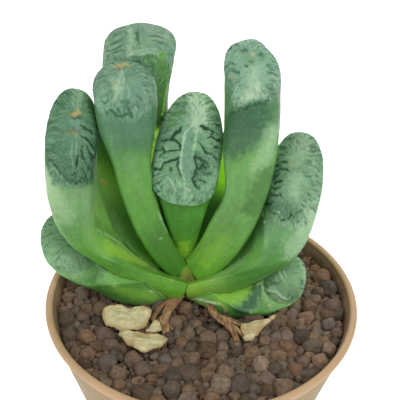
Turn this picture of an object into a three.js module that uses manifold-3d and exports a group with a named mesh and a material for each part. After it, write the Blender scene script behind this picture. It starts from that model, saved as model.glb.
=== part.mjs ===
// A potted haworthia: eleven thick, blunt leaves on a short stem, in a pot of round grit.
// Millimetres, +Z up. The origin is on the ground, on the pot's axis. -Y is the front.
import * as THREE from "three";
import { mergeVertices } from "three/addons/utils/BufferGeometryUtils.js";
import Module from "manifold-3d";

const wasm = await Module();
wasm.setup();

// ---- Driving dimensions ----
const GAP = 0.3; // between neighbouring pieces
const CUT_MARGIN = 0.45; // how far a leaf's outline grows before its neighbour is cut clear of it

const POT_HEIGHT = 62;
const RIM_RADIUS = 40; // outside, at the lip
const FOOT_RADIUS = 24; // outside, where the pot stands
const POT_WALL = 1.8;
const POT_FLOOR = 3.8; // top of the floor
const FOOT_RING_WIDTH = 4;
const FOOT_RECESS = 1.5; // height of the hollow inside the foot ring
const DRAIN_RADIUS = 4.5;
const LIP_ROUND = 0.7;
const POT_SIDES = 44;

const SOIL_LEVEL = POT_HEIGHT - 3.5;
const GRAIN_PITCH = 4.2; // mean distance between grit grains
const GRAIN_JITTER = 0.27; // of the pitch
const GRAIN_CROWN = 0.62; // a grain's flat crown, as a share of its cell
const GRAIN_RISE = [0.5, 1.3]; // lowest and highest grain above the gaps
const GRIT_SEED = 7;

const STEM_X = -4;
const STEM_Y = 8;
const STEM_RADIUS = 4;
const STEM_BOTTOM = 48;
const STEM_TOP = 66;

const LEAF_RINGS = 12; // sections along a leaf
const LEAF_SIDES = 14; // corners of a section
const WINDOW_RINGS = 4; // steps over the domed window
const WINDOW_DOME = 2.4;
const MARGIN_POWER = 4.5; // crisp leaf margin near the foot
const ROUND_POWER = 2.4; // rounder outline at the window
const BACK_POWER = 2.3; // outer side of a section

// Each leaf: its spine from foot to the middle of its window, with the section's width and the
// depth of its outer side at the same four points. foot gives the direction of the section's
// width at the foot: degrees from +X, and its slope. face gives where the window looks: degrees
// to the right of the front, degrees above level, and its turn in its own plane. A side leaf
// (side 1 on the left, -1 on the right) has its broad way front to back, so the window's length
// continues it. inner is how full the inner side is at the foot, and bend is where the section
// starts to lean into the window. dents are in the window's outline: angle, depth, half width.
// waist is where the leaf narrows along its length, by how much, over what length, and on which
// side of it.
const LEAVES = {
  leaf_centre: {
    spine: [[-4.5, 10, 64], [-4.5, 9, 73], [-6, 9, 87], [-4, 12, 98.5]],
    width: [3, 6.5, 15, 18.5], depth: [2, 4, 5.5, 7], foot: [0, 0],
    face: [-4, 30, -6], window: [16.5, 27], side: 0, inner: 0.3, bend: 0.55, egg: 0.12,
  },
  leaf_left_inner: {
    spine: [[-6, 6.5, 63.5], [-16, 7, 76], [-19, 9, 93], [-19.5, 14, 112.5]],
    width: [5.5, 8.5, 8, 12.5], depth: [3, 4.5, 6, 7], foot: [22, 0],
    face: [6, 58, 4], window: [15, 16], side: 0, inner: 0.5, bend: 0.66, egg: 0,
  },
  leaf_right_inner: {
    spine: [[-2, 6.5, 63.5], [11, 6, 77], [11.5, 8, 100], [10.5, 14, 117]],
    width: [8, 11.5, 15, 13.5], depth: [4, 6, 7, 7], foot: [-25, 0],
    face: [-20, 50, 24], window: [13, 19.5], side: 0, inner: 0.45, bend: 0.55, egg: 0,
    dents: [[170, 0.24, 13], [318, 0.1, 24], [228, -0.06, 20]], waist: [0.48, 0.33, 0.14, -1],
  },
  leaf_back_tall: {
    spine: [[-5.5, 14, 60.5], [-12, 17, 79], [-20, 22, 103], [-16.5, 26, 119]],
    width: [10, 14, 13.5, 16], depth: [3, 4.5, 6, 6], foot: [10, 0],
    face: [0, 60, -10], window: [17.5, 13], side: 0, inner: 0.6, bend: 0.65, egg: 0.1,
    dents: [[52, 0.14, 14], [228, 0.1, 24], [318, -0.06, 24]],
  },
  leaf_left_outer: {
    spine: [[-4.5, 3, 62.5], [-17.5, 3, 67.5], [-35, 4, 75], [-32, 8, 102]],
    width: [9, 10, 9, 8], depth: [5.5, 5, 4, 7], foot: [90, -0.7],
    face: [26, 38, -19], window: [12.5, 25], side: 1, inner: 0.1, bend: 0.35, egg: 0,
  },
  leaf_right_outer: {
    spine: [[-4, 3, 62], [9.5, 3.5, 66], [21, 4, 78], [22.5, 9, 91]],
    width: [9, 13, 14, 15], depth: [4, 5.5, 10, 7], foot: [-90, 0.7],
    face: [-24, 38, 9], window: [13.5, 25], side: -1, inner: 0.1, bend: 0.35, egg: 0,
  },
  leaf_behind_left: {
    spine: [[-6.5, 9, 63], [-18.5, 11, 66.5], [-27.5, 15, 78.5], [-32.5, 22, 97]],
    width: [10, 18, 17, 11], depth: [2, 4, 4.5, 4.5], foot: [45, 0],
    face: [10, 50, 0], window: [11, 10], side: 0, inner: 0.5, bend: 0.55, egg: 0,
  },
  leaf_behind_right: {
    spine: [[-3, 13, 61.5], [2, 17, 68], [6, 22, 79.5], [10.5, 28, 95.5]],
    width: [9, 12, 12, 11], depth: [2, 4, 4.5, 4.5], foot: [-20, 0],
    face: [-5, 50, 0], window: [10.5, 9], side: 0, inner: 0.5, bend: 0.55, egg: 0,
  },
  leaf_behind_centre: {
    spine: [[-4.5, 15, 60], [-4.5, 24, 62.5], [-4, 30, 74], [-4, 34, 88.5]],
    width: [9, 12, 13, 13], depth: [2, 4, 4.5, 4.5], foot: [0, 0],
    face: [0, 60, 0], window: [13, 10], side: 0, inner: 0.5, bend: 0.55, egg: 0,
  },
  leaf_right_low: {
    spine: [[-4.5, 5.5, 60.5], [7, 2, 61.5], [15, -2, 62.5], [21.5, 1.5, 66]],
    width: [8, 13, 15, 13], depth: [4, 6, 12.5, 5.5], foot: [-80, 0.7],
    face: [-18, 38, 4], window: [10.5, 13], side: -1, inner: 0.1, bend: 0.5, egg: 0,
  },
  leaf_left_low: {
    spine: [[-5, 5.5, 61], [-15, 3.5, 65.5], [-28.5, 0.5, 67.5], [-34, 6.5, 72.5]],
    width: [9, 12, 12, 14], depth: [4.5, 12, 10, 6.5], foot: [85, -0.7],
    face: [20, 38, 2], window: [15.5, 16.5], side: 1, inner: 0.1, bend: 0.5, egg: 0,
  },
};

// Dry leaves on the grit: their outline seen from above, their height and how far they cup.
const DRY_LEAVES = {
  dry_leaf_left_wide: {
    outline: [[-25, -6], [-22, -4.5], [-17.5, -5.5], [-13, -4.5], [-13, -9], [-15.5, -12.5],
      [-20.5, -12.5], [-24, -10]],
    height: 60.3, cup: -0.9, tilt: [0.02, 0.05],
  },
  dry_leaf_left_front: {
    outline: [[-20, -14], [-17.5, -17.5], [-13.5, -20], [-9.5, -19], [-8, -16], [-10.5, -14.5],
      [-14.5, -14]],
    height: 60.4, cup: -0.8, tilt: [0.05, -0.06],
  },
  dry_leaf_left_small: {
    outline: [[-12, -10], [-10.5, -10], [-9.5, -12.5], [-11, -13.5], [-13.5, -13]],
    height: 60.3, cup: -0.3, tilt: [0.08, 0],
  },
  dry_leaf_right: {
    outline: [[10.5, -10], [15.5, -8.5], [19, -6.5], [17.5, -9], [15, -11.5], [13, -14.5],
      [11, -15], [10, -12.5]],
    height: 60.4, cup: -0.6, tilt: [-0.03, 0.05],
  },
};
const DRY_THICKNESS = 0.8;

// Withered leaf bases under the rosette: a route over the grit, with width and thickness.
const WITHERED_BASES = {
  withered_base_left: {
    route: [[-5.4, 0.5, 61.2], [-8, -4, 60.9], [-10.2, -7, 60.2], [-8, -13, 60]],
    width: [2.6, 3.2, 2.4, 1.2], thickness: [1.4, 1.2, 1.1, 0.9],
  },
  withered_base_right: {
    route: [[2.2, -3.6, 60.6], [4, -9, 60.4], [8.4, -9.6, 60.2], [8.6, -15.5, 60]],
    width: [2.4, 2.8, 2, 1], thickness: [1.3, 1.1, 1, 0.9],
  },
};

const COLOURS = {
  pot: ["#d8a583", 0.8], soil: ["#6b4a40", 0.95], crown_stem: ["#8d8a5a", 0.8],
  leaf: ["#5f9a5a", 0.45], dry_leaf: ["#d8cda0", 0.85], withered_base: ["#9a6a3e", 0.9],
};

// ---- Small helpers ----
const vector = ([x, y, z]) => new THREE.Vector3(x, y, z);
const mix = (a, b, t) => a + (b - a) * t;
const ease = (t) => THREE.MathUtils.smoothstep(t, 0, 1);
const radians = THREE.MathUtils.degToRad;
const signedPower = (value, power) => Math.sign(value) * Math.abs(value) ** power;

function bezierValue(values, t) {
  const s = 1 - t;
  const [a, b, c, d] = values;
  return s ** 3 * a + 3 * s * s * t * b + 3 * s * t * t * c + t ** 3 * d;
}

function randomDraws(seed) {
  let state = seed;
  return () => {
    state = (state * 16807) % 2147483647;
    return state / 2147483647;
  };
}

// ---- Solids ----
function meshFrom(points, triangles) {
  const geometry = new THREE.BufferGeometry();
  geometry.setAttribute("position", new THREE.Float32BufferAttribute(points.flatMap((p) => [p.x, p.y, p.z]), 3));
  let volume = 0;
  for (const [a, b, c] of triangles) {
    volume += points[a].dot(new THREE.Vector3().crossVectors(points[b], points[c]));
  }
  const outward = volume > 0 ? triangles : triangles.map(([a, b, c]) => [a, c, b]);
  geometry.setIndex(outward.flat());
  return geometry;
}

// A closed skin over rings of points, with a flat start and an end point.
function skinOver(rings, endPoint) {
  const sides = rings[0].length;
  const points = rings.flat();
  const start = new THREE.Vector3();
  rings[0].forEach((p) => start.addScaledVector(p, 1 / sides));
  const startIndex = points.push(start) - 1;
  const endIndex = points.push(endPoint) - 1;
  const triangles = [];
  for (let j = 0; j < sides; j++) {
    const next = (j + 1) % sides;
    triangles.push([startIndex, next, j]);
    for (let i = 0; i < rings.length - 1; i++) {
      const here = i * sides;
      const above = here + sides;
      triangles.push([here + j, here + next, above + next], [here + j, above + next, above + j]);
    }
    const last = (rings.length - 1) * sides;
    triangles.push([last + j, last + next, endIndex]);
  }
  return meshFrom(points, triangles);
}

function solidOf(geometry) {
  const bare = geometry.index ? geometry.toNonIndexed() : geometry.clone();
  bare.deleteAttribute("normal");
  bare.deleteAttribute("uv");
  const merged = mergeVertices(bare, 1e-4);
  return new wasm.Manifold(new wasm.Mesh({
    numProp: 3,
    vertProperties: merged.attributes.position.array,
    triVerts: new Uint32Array(merged.index.array),
  }));
}

function geometryOf(solid) {
  const { vertProperties, triVerts } = solid.getMesh();
  const geometry = new THREE.BufferGeometry();
  geometry.setAttribute("position", new THREE.BufferAttribute(vertProperties, 3));
  geometry.setIndex(new THREE.BufferAttribute(triVerts, 1));
  const flat = geometry.toNonIndexed();
  flat.computeVertexNormals();
  return flat;
}

// The same closed surface, moved outwards along its normals.
function grown(geometry, distance) {
  const bigger = mergeVertices(geometry, 1e-4);
  bigger.computeVertexNormals();
  const { position, normal } = bigger.attributes;
  for (let i = 0; i < position.count; i++) {
    position.setXYZ(i, position.getX(i) + normal.getX(i) * distance, position.getY(i) + normal.getY(i) * distance,
      position.getZ(i) + normal.getZ(i) * distance);
  }
  bigger.deleteAttribute("normal");
  return bigger;
}

function largestBody(solid) {
  return solid.decompose().reduce((best, body) => (body.volume() > best.volume() ? body : best));
}

// ---- Leaves ----
// The outline of a section at an angle: across, and towards the inner side.
function sectionPoint(angle, innerShare, innerPower) {
  const c = Math.cos(angle);
  const s = Math.sin(angle);
  const power = s > 0 ? innerPower : BACK_POWER;
  const share = s > 0 ? innerShare : 1;
  return [signedPower(c, 2 / power), share * signedPower(s, 2 / power)];
}

function windowAxes([turn, tilt, spin]) {
  const normal = new THREE.Vector3(
    Math.sin(radians(turn)) * Math.cos(radians(tilt)),
    -Math.cos(radians(turn)) * Math.cos(radians(tilt)),
    Math.sin(radians(tilt)),
  );
  const level = new THREE.Vector3(Math.cos(radians(turn)), Math.sin(radians(turn)), 0);
  const across = level.applyAxisAngle(normal, radians(spin));
  return { normal, across, up: new THREE.Vector3().crossVectors(normal, across) };
}

function leafGeometry(leaf) {
  const spine = new THREE.CubicBezierCurve3(...leaf.spine.map(vector));
  const { normal, across, up } = windowAxes(leaf.face);
  const [windowWidth, windowLength] = leaf.window;
  const endWide = leaf.side ? up.clone().multiplyScalar((leaf.side * windowLength) / 2)
    : across.clone().multiplyScalar(windowWidth / 2);
  const endDeep = leaf.side ? across.clone().multiplyScalar((leaf.side * windowWidth) / 2)
    : up.clone().multiplyScalar(-windowLength / 2);
  const [footAngle, footSlope] = leaf.foot;
  const footWide = new THREE.Vector3(Math.cos(radians(footAngle)), Math.sin(radians(footAngle)), footSlope).normalize();
  const [waistAt, waistDepth, waistReach, waistSide] = leaf.waist ?? [0, 0, 1, 1];

  function ring(middle, wideAxis, deepAxis, lean, innerShare, innerPower, scale, narrow = 0) {
    return Array.from({ length: LEAF_SIDES }, (_, k) => {
      const angle = (k / LEAF_SIDES) * 2 * Math.PI;
      const [x, y] = sectionPoint(angle, innerShare, innerPower);
      let dent = 1;
      for (const [dentAngle, dentDepth, dentWidth] of leaf.dents ?? []) {
        const away = ((THREE.MathUtils.radToDeg(angle) - dentAngle + 540) % 360) - 180;
        dent *= 1 - lean * lean * dentDepth * Math.exp(-((away / dentWidth) ** 2));
      }
      const widen = (1 + leaf.egg * lean * y) * (x * waistSide > 0 ? 1 - narrow : 1);
      return middle.clone().addScaledVector(wideAxis, x * widen * dent * scale)
        .addScaledVector(deepAxis, y * dent * scale);
    });
  }

  const rings = [];
  for (let i = 0; i < LEAF_RINGS; i++) {
    const t = i / (LEAF_RINGS - 1);
    const tangent = spine.getTangent(t);
    const lean = ease((t - leaf.bend) / (1 - leaf.bend));
    const wide = footWide.clone().lerp(endWide.clone().normalize(), ease(t));
    wide.addScaledVector(tangent, -wide.dot(tangent)).normalize();
    const inward = new THREE.Vector3().crossVectors(wide, tangent);
    const wideAxis = wide.multiplyScalar(((1 - lean) * bezierValue(leaf.width, t)) / 2).addScaledVector(endWide, lean);
    const deepAxis = inward.multiplyScalar((1 - lean) * bezierValue(leaf.depth, t)).addScaledVector(endDeep, lean);
    const narrow = waistDepth * Math.exp(-(((t - waistAt) / waistReach) ** 2));
    rings.push(ring(spine.getPoint(t), wideAxis, deepAxis, lean, mix(leaf.inner, 1, lean),
      mix(MARGIN_POWER, ROUND_POWER, lean), 1, narrow));
  }
  const middle = spine.getPoint(1);
  for (let i = 1; i < WINDOW_RINGS; i++) {
    const scale = Math.cos(((i / WINDOW_RINGS) * Math.PI) / 2);
    const rise = WINDOW_DOME * (1 - scale ** 3.2) ** 0.6;
    const gentleRise = WINDOW_DOME * (1 - scale ** 2);
    const flat = ring(middle, endWide, endDeep, 1, 1, ROUND_POWER, scale);
    rings.push(flat.map((point) => {
      const below = -point.clone().sub(middle).dot(up) / (windowLength / 2) / scale;
      return point.addScaledVector(normal, mix(rise, gentleRise, ease((below - 0.3) / 0.6)));
    }));
  }
  return skinOver(rings, middle.clone().addScaledVector(normal, WINDOW_DOME));
}

// ---- Pot, grit and stem ----
const outerRadius = (z) => mix(FOOT_RADIUS, RIM_RADIUS, z / POT_HEIGHT);
const innerRadius = (z) => outerRadius(z) - POT_WALL;

function turned(profile, sides) {
  const geometry = new THREE.LatheGeometry(profile.map(([r, z]) => new THREE.Vector2(r, z)), sides);
  return geometry.rotateX(Math.PI / 2);
}

function potGeometry() {
  const ringInside = FOOT_RADIUS - FOOT_RING_WIDTH;
  const lipInside = innerRadius(POT_HEIGHT);
  const profile = [
    [DRAIN_RADIUS, FOOT_RECESS],
    [ringInside - FOOT_RECESS, FOOT_RECESS],
    [ringInside, 0],
    [FOOT_RADIUS - LIP_ROUND, 0],
    [outerRadius(LIP_ROUND), LIP_ROUND],
    [RIM_RADIUS, POT_HEIGHT - LIP_ROUND],
    [RIM_RADIUS - LIP_ROUND * 0.3, POT_HEIGHT - LIP_ROUND * 0.3],
    [RIM_RADIUS - LIP_ROUND, POT_HEIGHT],
    [lipInside + LIP_ROUND * 0.6, POT_HEIGHT],
    [lipInside, POT_HEIGHT - LIP_ROUND],
    [innerRadius(POT_FLOOR + 2), POT_FLOOR + 2],
    [innerRadius(POT_FLOOR) - 1.5, POT_FLOOR],
    [DRAIN_RADIUS, POT_FLOOR],
    [DRAIN_RADIUS, FOOT_RECESS],
  ];
  return turned(profile, POT_SIDES);
}

function groundHeight(x, y) {
  const waves = 0.35 * Math.sin(0.16 * x + 1.2) * Math.cos(0.19 * y - 0.4);
  const hollow = 1.1 * Math.exp(-(((x - 0.5) / 5) ** 2) - ((y + 4.5) / 4) ** 2);
  return SOIL_LEVEL - 0.4 + waves - hollow;
}

// A sheet of grains: each grain is a six-sided cell of a shaken lattice with a raised flat crown.
function gritSheet(radius, bottom) {
  const draw = randomDraws(GRIT_SEED);
  const reach = Math.ceil(radius / GRAIN_PITCH) + 3;
  const key = (i, j) => `${i},${j}`;
  const centres = new Map();
  for (let j = -2 * reach; j <= 2 * reach; j++) {
    for (let i = -2 * reach; i <= 2 * reach; i++) {
      const x = (i + j / 2 + GRAIN_JITTER * (2 * draw() - 1)) * GRAIN_PITCH;
      const y = (j * Math.sqrt(0.75) + GRAIN_JITTER * (2 * draw() - 1)) * GRAIN_PITCH;
      const rise = mix(GRAIN_RISE[0], GRAIN_RISE[1], draw());
      centres.set(key(i, j), { x, y, rise });
    }
  }
  const points = [];
  const triangles = [];
  const cornerIndex = new Map();
  function corner(...cells) {
    const name = cells.map(([i, j]) => key(i, j)).sort().join(" ");
    if (!cornerIndex.has(name)) {
      const around = cells.map(([i, j]) => centres.get(key(i, j)));
      const x = around.reduce((sum, c) => sum + c.x, 0) / 3;
      const y = around.reduce((sum, c) => sum + c.y, 0) / 3;
      cornerIndex.set(name, points.push(new THREE.Vector3(x, y, groundHeight(x, y))) - 1);
    }
    return cornerIndex.get(name);
  }
  const compass = [[1, 0], [0, 1], [-1, 1], [-1, 0], [0, -1], [1, -1]];
  for (const [name, cell] of centres) {
    if (Math.hypot(cell.x, cell.y) > radius) continue;
    const [i, j] = name.split(",").map(Number);
    const corners = compass.map(([a, b], k) => {
      const [c, d] = compass[(k + 1) % 6];
      return corner([i, j], [i + a, j + b], [i + c, j + d]);
    });
    const crown = corners.map((index) => {
      const x = mix(cell.x, points[index].x, GRAIN_CROWN);
      const y = mix(cell.y, points[index].y, GRAIN_CROWN);
      return points.push(new THREE.Vector3(x, y, groundHeight(cell.x, cell.y) + cell.rise)) - 1;
    });
    for (let k = 0; k < 6; k++) {
      const next = (k + 1) % 6;
      triangles.push([corners[k], corners[next], crown[next]], [corners[k], crown[next], crown[k]]);
      if (k > 0 && k < 5) triangles.push([crown[0], crown[k], crown[k + 1]]);
    }
  }
  // Walls down from the sheet's free edges, and a fan that closes the bottom.
  const edges = new Map();
  for (const [a, b, c] of triangles) {
    for (const [from, to] of [[a, b], [b, c], [c, a]]) {
      if (!edges.delete(key(to, from))) edges.set(key(from, to), [from, to]);
    }
  }
  const middle = points.push(new THREE.Vector3(0, 0, bottom)) - 1;
  const below = new Map();
  const foot = (index) => {
    if (!below.has(index)) {
      below.set(index, points.push(new THREE.Vector3(points[index].x, points[index].y, bottom)) - 1);
    }
    return below.get(index);
  };
  for (const [from, to] of edges.values()) {
    triangles.push([to, from, foot(from)], [to, foot(from), foot(to)], [foot(to), foot(from), middle]);
  }
  return meshFrom(points, triangles);
}

function stemGeometry(extra) {
  const profile = [
    [0, STEM_BOTTOM - extra],
    [STEM_RADIUS + extra, STEM_BOTTOM - extra],
    [STEM_RADIUS + 0.2 + extra, SOIL_LEVEL],
    [STEM_RADIUS + extra, STEM_TOP - 4],
    [STEM_RADIUS - 1.2 + extra, STEM_TOP - 1.4 + extra],
    [STEM_RADIUS - 2.6 + extra, STEM_TOP - 0.3 + extra],
    [0, STEM_TOP + extra],
  ];
  return turned(profile, 16).translate(STEM_X, STEM_Y, 0);
}

function soilSolid(inTheWay) {
  const bottom = POT_FLOOR + GAP;
  const top = POT_HEIGHT;
  const fill = turned([
    [0, bottom],
    [innerRadius(bottom) - 1.5 - GAP * 2, bottom],
    [innerRadius(bottom + 2) - GAP, bottom + 2],
    [innerRadius(top) - GAP, top],
    [0, top],
  ], POT_SIDES);
  const grit = solidOf(gritSheet(RIM_RADIUS + GRAIN_PITCH, 0));
  let soil = solidOf(fill).intersect(grit);
  for (const piece of inTheWay) soil = soil.subtract(piece);
  return largestBody(soil);
}

// ---- Dry remains on the grit ----
function dryLeafGeometry({ outline, height, cup, tilt }) {
  const edge = new THREE.CatmullRomCurve3(outline.map(([x, y]) => new THREE.Vector3(x, y, 0)), true);
  const rim = edge.getPoints(18).slice(0, 18);
  const middle = new THREE.Vector3();
  rim.forEach((p) => middle.addScaledVector(p, 1 / rim.length));
  const surface = (p, share, side) => {
    const x = mix(middle.x, p.x, share);
    const y = mix(middle.y, p.y, share);
    const lift = cup * (share * share - 1) + tilt[0] * (x - middle.x) + tilt[1] * (y - middle.y);
    return new THREE.Vector3(x, y, height + lift + (side * DRY_THICKNESS) / 2);
  };
  const shares = [0.35, 0.7, 1];
  const rings = [
    ...shares.map((share) => rim.map((p) => surface(p, share, -1))),
    ...shares.toReversed().map((share) => rim.map((p) => surface(p, share, 1))),
  ];
  return skinOver(rings, surface(middle, 0, 1));
}

function witheredGeometry({ route, width, thickness }) {
  const curve = new THREE.CubicBezierCurve3(...route.map(vector));
  const steps = 9;
  const rings = Array.from({ length: steps }, (_, i) => {
    const t = i / (steps - 1);
    const across = new THREE.Vector3(0, 0, 1).cross(curve.getTangent(t)).normalize();
    const middle = curve.getPoint(t);
    return Array.from({ length: 8 }, (__, k) => {
      const angle = (k / 8) * 2 * Math.PI;
      return middle.clone().addScaledVector(across, (Math.cos(angle) * bezierValue(width, t)) / 2)
        .add(new THREE.Vector3(0, 0, (Math.sin(angle) * bezierValue(thickness, t)) / 2));
    });
  });
  return skinOver(rings, curve.getPoint(1));
}

// ---- Assembly ----
const plant = new THREE.Group();

function addPiece(name, kind, geometry) {
  const [color, roughness] = COLOURS[kind];
  const mesh = new THREE.Mesh(geometry, new THREE.MeshStandardMaterial({ color, roughness, metalness: 0 }));
  mesh.name = name;
  plant.add(mesh);
}

addPiece("pot", "pot", potGeometry());
addPiece("crown_stem", "crown_stem", stemGeometry(0));

// The leaves clasp each other from the middle outwards: each is cut clear of those inside it.
const inside = [solidOf(stemGeometry(GAP))];
for (const [name, leaf] of Object.entries(LEAVES)) {
  const whole = leafGeometry(leaf);
  let solid = solidOf(whole);
  for (const inner of inside) solid = solid.subtract(inner);
  inside.push(solidOf(grown(whole, CUT_MARGIN)));
  addPiece(name, "leaf", geometryOf(largestBody(solid)));
}

for (const [name, remains] of Object.entries(WITHERED_BASES)) {
  const whole = witheredGeometry(remains);
  let solid = solidOf(whole);
  for (const inner of inside) solid = solid.subtract(inner);
  inside.push(solidOf(grown(whole, CUT_MARGIN)));
  addPiece(name, "withered_base", geometryOf(largestBody(solid)));
}

for (const [name, dry] of Object.entries(DRY_LEAVES)) {
  const whole = dryLeafGeometry(dry);
  let solid = solidOf(whole);
  for (const inner of inside) solid = solid.subtract(inner);
  inside.push(solidOf(grown(whole, CUT_MARGIN)));
  addPiece(name, "dry_leaf", geometryOf(largestBody(solid)));
}

addPiece("soil", "soil", geometryOf(soilSolid(inside)));

export default plant;
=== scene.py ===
import math

import bpy
import numpy as np
from mathutils import Matrix, Vector
from mathutils.bvhtree import BVHTree


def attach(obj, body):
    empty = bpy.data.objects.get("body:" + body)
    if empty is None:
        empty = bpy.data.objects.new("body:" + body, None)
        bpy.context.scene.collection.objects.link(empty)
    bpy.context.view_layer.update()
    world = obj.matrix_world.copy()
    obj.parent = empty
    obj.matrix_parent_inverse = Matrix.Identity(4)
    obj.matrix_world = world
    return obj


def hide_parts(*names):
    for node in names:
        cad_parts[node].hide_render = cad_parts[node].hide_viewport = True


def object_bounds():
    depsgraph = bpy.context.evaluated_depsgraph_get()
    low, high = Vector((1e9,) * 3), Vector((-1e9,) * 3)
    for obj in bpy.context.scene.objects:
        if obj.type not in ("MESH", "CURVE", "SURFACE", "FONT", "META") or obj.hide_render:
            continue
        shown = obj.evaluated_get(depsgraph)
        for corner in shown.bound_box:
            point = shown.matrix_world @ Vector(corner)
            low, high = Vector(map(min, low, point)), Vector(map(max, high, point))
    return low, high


# The looks of a potted haworthia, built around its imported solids. Lengths here are millimetres,
# and MM turns them into metres where an object is made.
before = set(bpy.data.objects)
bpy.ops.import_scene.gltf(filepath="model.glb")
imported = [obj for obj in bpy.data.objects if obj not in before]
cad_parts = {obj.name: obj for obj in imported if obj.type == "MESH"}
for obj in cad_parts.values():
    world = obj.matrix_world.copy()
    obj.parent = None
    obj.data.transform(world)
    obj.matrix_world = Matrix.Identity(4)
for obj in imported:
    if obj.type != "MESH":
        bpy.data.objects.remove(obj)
CAD_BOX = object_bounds()
MM = 0.001
CAD_LOW, CAD_HIGH = (np.array(corner, float) / MM for corner in CAD_BOX)

# ---- Camera: where the photograph was taken from ----
PHOTO_SIZE = 400  # pixels
PHOTO_FOCAL = 765.4  # pixels
SENSOR = 36.0
CAMERA_PLACE = np.array([0.0, -150.55, 193.66])
CAMERA_TURN = math.radians(0.37)  # to the left of +Y
CAMERA_PITCH = math.radians(-34.31)
CAMERA_ROLL = math.radians(1.294)


def unit(v):
    v = np.asarray(v, float)
    return v / np.linalg.norm(v, axis=-1, keepdims=True)


def camera_axes():
    """Right, up and forward of the camera."""
    forward = np.array([
        -math.sin(CAMERA_TURN) * math.cos(CAMERA_PITCH),
        math.cos(CAMERA_TURN) * math.cos(CAMERA_PITCH),
        math.sin(CAMERA_PITCH),
    ])
    level = np.array([math.cos(CAMERA_TURN), math.sin(CAMERA_TURN), 0.0])
    upright = np.cross(level, forward)
    right = math.cos(CAMERA_ROLL) * level + math.sin(CAMERA_ROLL) * upright
    return right, np.cross(right, forward), forward


RIGHT, UP, FORWARD = camera_axes()


def photo_ray(x, y):
    """The direction in which a point of the photograph lies, from the camera."""
    half = PHOTO_SIZE / 2
    return unit(FORWARD + (x - half) / PHOTO_FOCAL * RIGHT - (y - half) / PHOTO_FOCAL * UP)


def make_camera():
    data = bpy.data.cameras.new("camera")
    data.sensor_width = SENSOR
    data.lens = PHOTO_FOCAL / PHOTO_SIZE * SENSOR
    data.clip_start = 0.01
    data.clip_end = 20
    camera = bpy.data.objects.new("camera", data)
    bpy.context.scene.collection.objects.link(camera)
    turn = Matrix((RIGHT, UP, -FORWARD)).transposed().to_4x4()
    camera.matrix_world = Matrix.Translation(Vector(CAMERA_PLACE * MM)) @ turn
    bpy.context.scene.camera = camera


make_camera()


# ---- Numbers: easing, noise and curves ----
def ease(t):
    t = np.clip(t, 0, 1)
    return t * t * (3 - 2 * t)


def step(low, high, x):
    """0 below low, 1 above high, smooth between. low may be the larger one."""
    return ease((np.asarray(x, float) - low) / (high - low))


def blend(a, b, t):
    """From a to b by t. Colours and places may be written as tuples."""
    a, b = np.asarray(a, float), np.asarray(b, float)
    return a + (b - a) * np.asarray(t)[..., None]


def hashed(cells, seed):
    """A repeatable number from 0 to 1 for each whole-numbered cell."""
    c = cells.astype(np.int64) & 0xFFFFFFFF
    h = (c[..., 0] * 374761393 + c[..., 1] * 668265263 + c[..., 2] * 2246822519 + seed * 3266489917)
    h &= 0xFFFFFFFF
    h = ((h ^ (h >> 15)) * 2246822519) & 0xFFFFFFFF
    h = ((h ^ (h >> 13)) * 3266489917) & 0xFFFFFFFF
    return ((h ^ (h >> 16)) & 0xFFFFFF) / float(0xFFFFFF)


def noise(points, seed):
    """Smooth value noise from 0 to 1, one cell to a unit."""
    base = np.floor(points)
    f = ease(points - base)
    total = np.zeros(len(points))
    for corner in np.ndindex(2, 2, 2):
        weight = np.prod(np.where(corner, f, 1 - f), axis=1)
        total += weight * hashed(base + corner, seed)
    return total


def fractal(points, seed, octaves=3):
    total = np.zeros(len(points))
    size = 1.0
    for k in range(octaves):
        total += noise(points * 2**k + 17.3 * k, seed + k) * size
        size /= 2
    return total / (2 - size * 2)


def bezier(values, t):
    a, b, c, d = (np.asarray(v, float) for v in values)
    t = t if a.ndim == 0 else t[:, None]
    s = 1 - t
    return s**3 * a + 3 * s * s * t * b + 3 * s * t * t * c + t**3 * d


def bezier_slope(values, t):
    a, b, c, d = (np.asarray(v, float) for v in values)
    t = t[:, None]
    s = 1 - t
    return s * s * (b - a) + 2 * s * t * (c - b) + t * t * (d - c)


# ---- Meshes ----
def linear(colour):
    """From screen values of 0 to 255 to linear light."""
    c = np.clip(np.asarray(colour, float) / 255, 0, 1)
    return np.where(c <= 0.04045, c / 12.92, ((c + 0.055) / 1.055) ** 2.4)


def make_object(name, points, faces, material, replaces, colours=None, extra=None):
    """A smooth mesh from points in millimetres, with its colour at each point."""
    mesh = bpy.data.meshes.new(name)
    mesh.from_pydata((np.asarray(points) * MM).tolist(), [], faces)
    mesh.validate()
    mesh.polygons.foreach_set("use_smooth", np.ones(len(mesh.polygons), bool))
    if colours is not None:
        paint = mesh.attributes.new("paint", "FLOAT_COLOR", "POINT")
        rgba = np.c_[linear(colours), np.ones(len(points))].astype(np.float32)
        paint.data.foreach_set("color", rgba.ravel())
    for key, values in (extra or {}).items():
        values = np.asarray(values, np.float32)
        if values.ndim == 1:
            mesh.attributes.new(key, "FLOAT", "POINT").data.foreach_set("value", values)
        else:
            mesh.attributes.new(key, "FLOAT_VECTOR", "POINT").data.foreach_set("vector", values.ravel())
    mesh.materials.append(material)
    made = bpy.data.objects.new(name, mesh)
    bpy.context.scene.collection.objects.link(made)
    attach(made, "root")
    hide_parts(*replaces)


def grid_faces(rings, sides, start=0):
    """Quads between rings of points that close round."""
    faces = []
    for i in range(rings - 1):
        low = start + i * sides
        for j in range(sides):
            k = (j + 1) % sides
            faces.append((low + j, low + k, low + sides + k, low + sides + j))
    return faces


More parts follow.
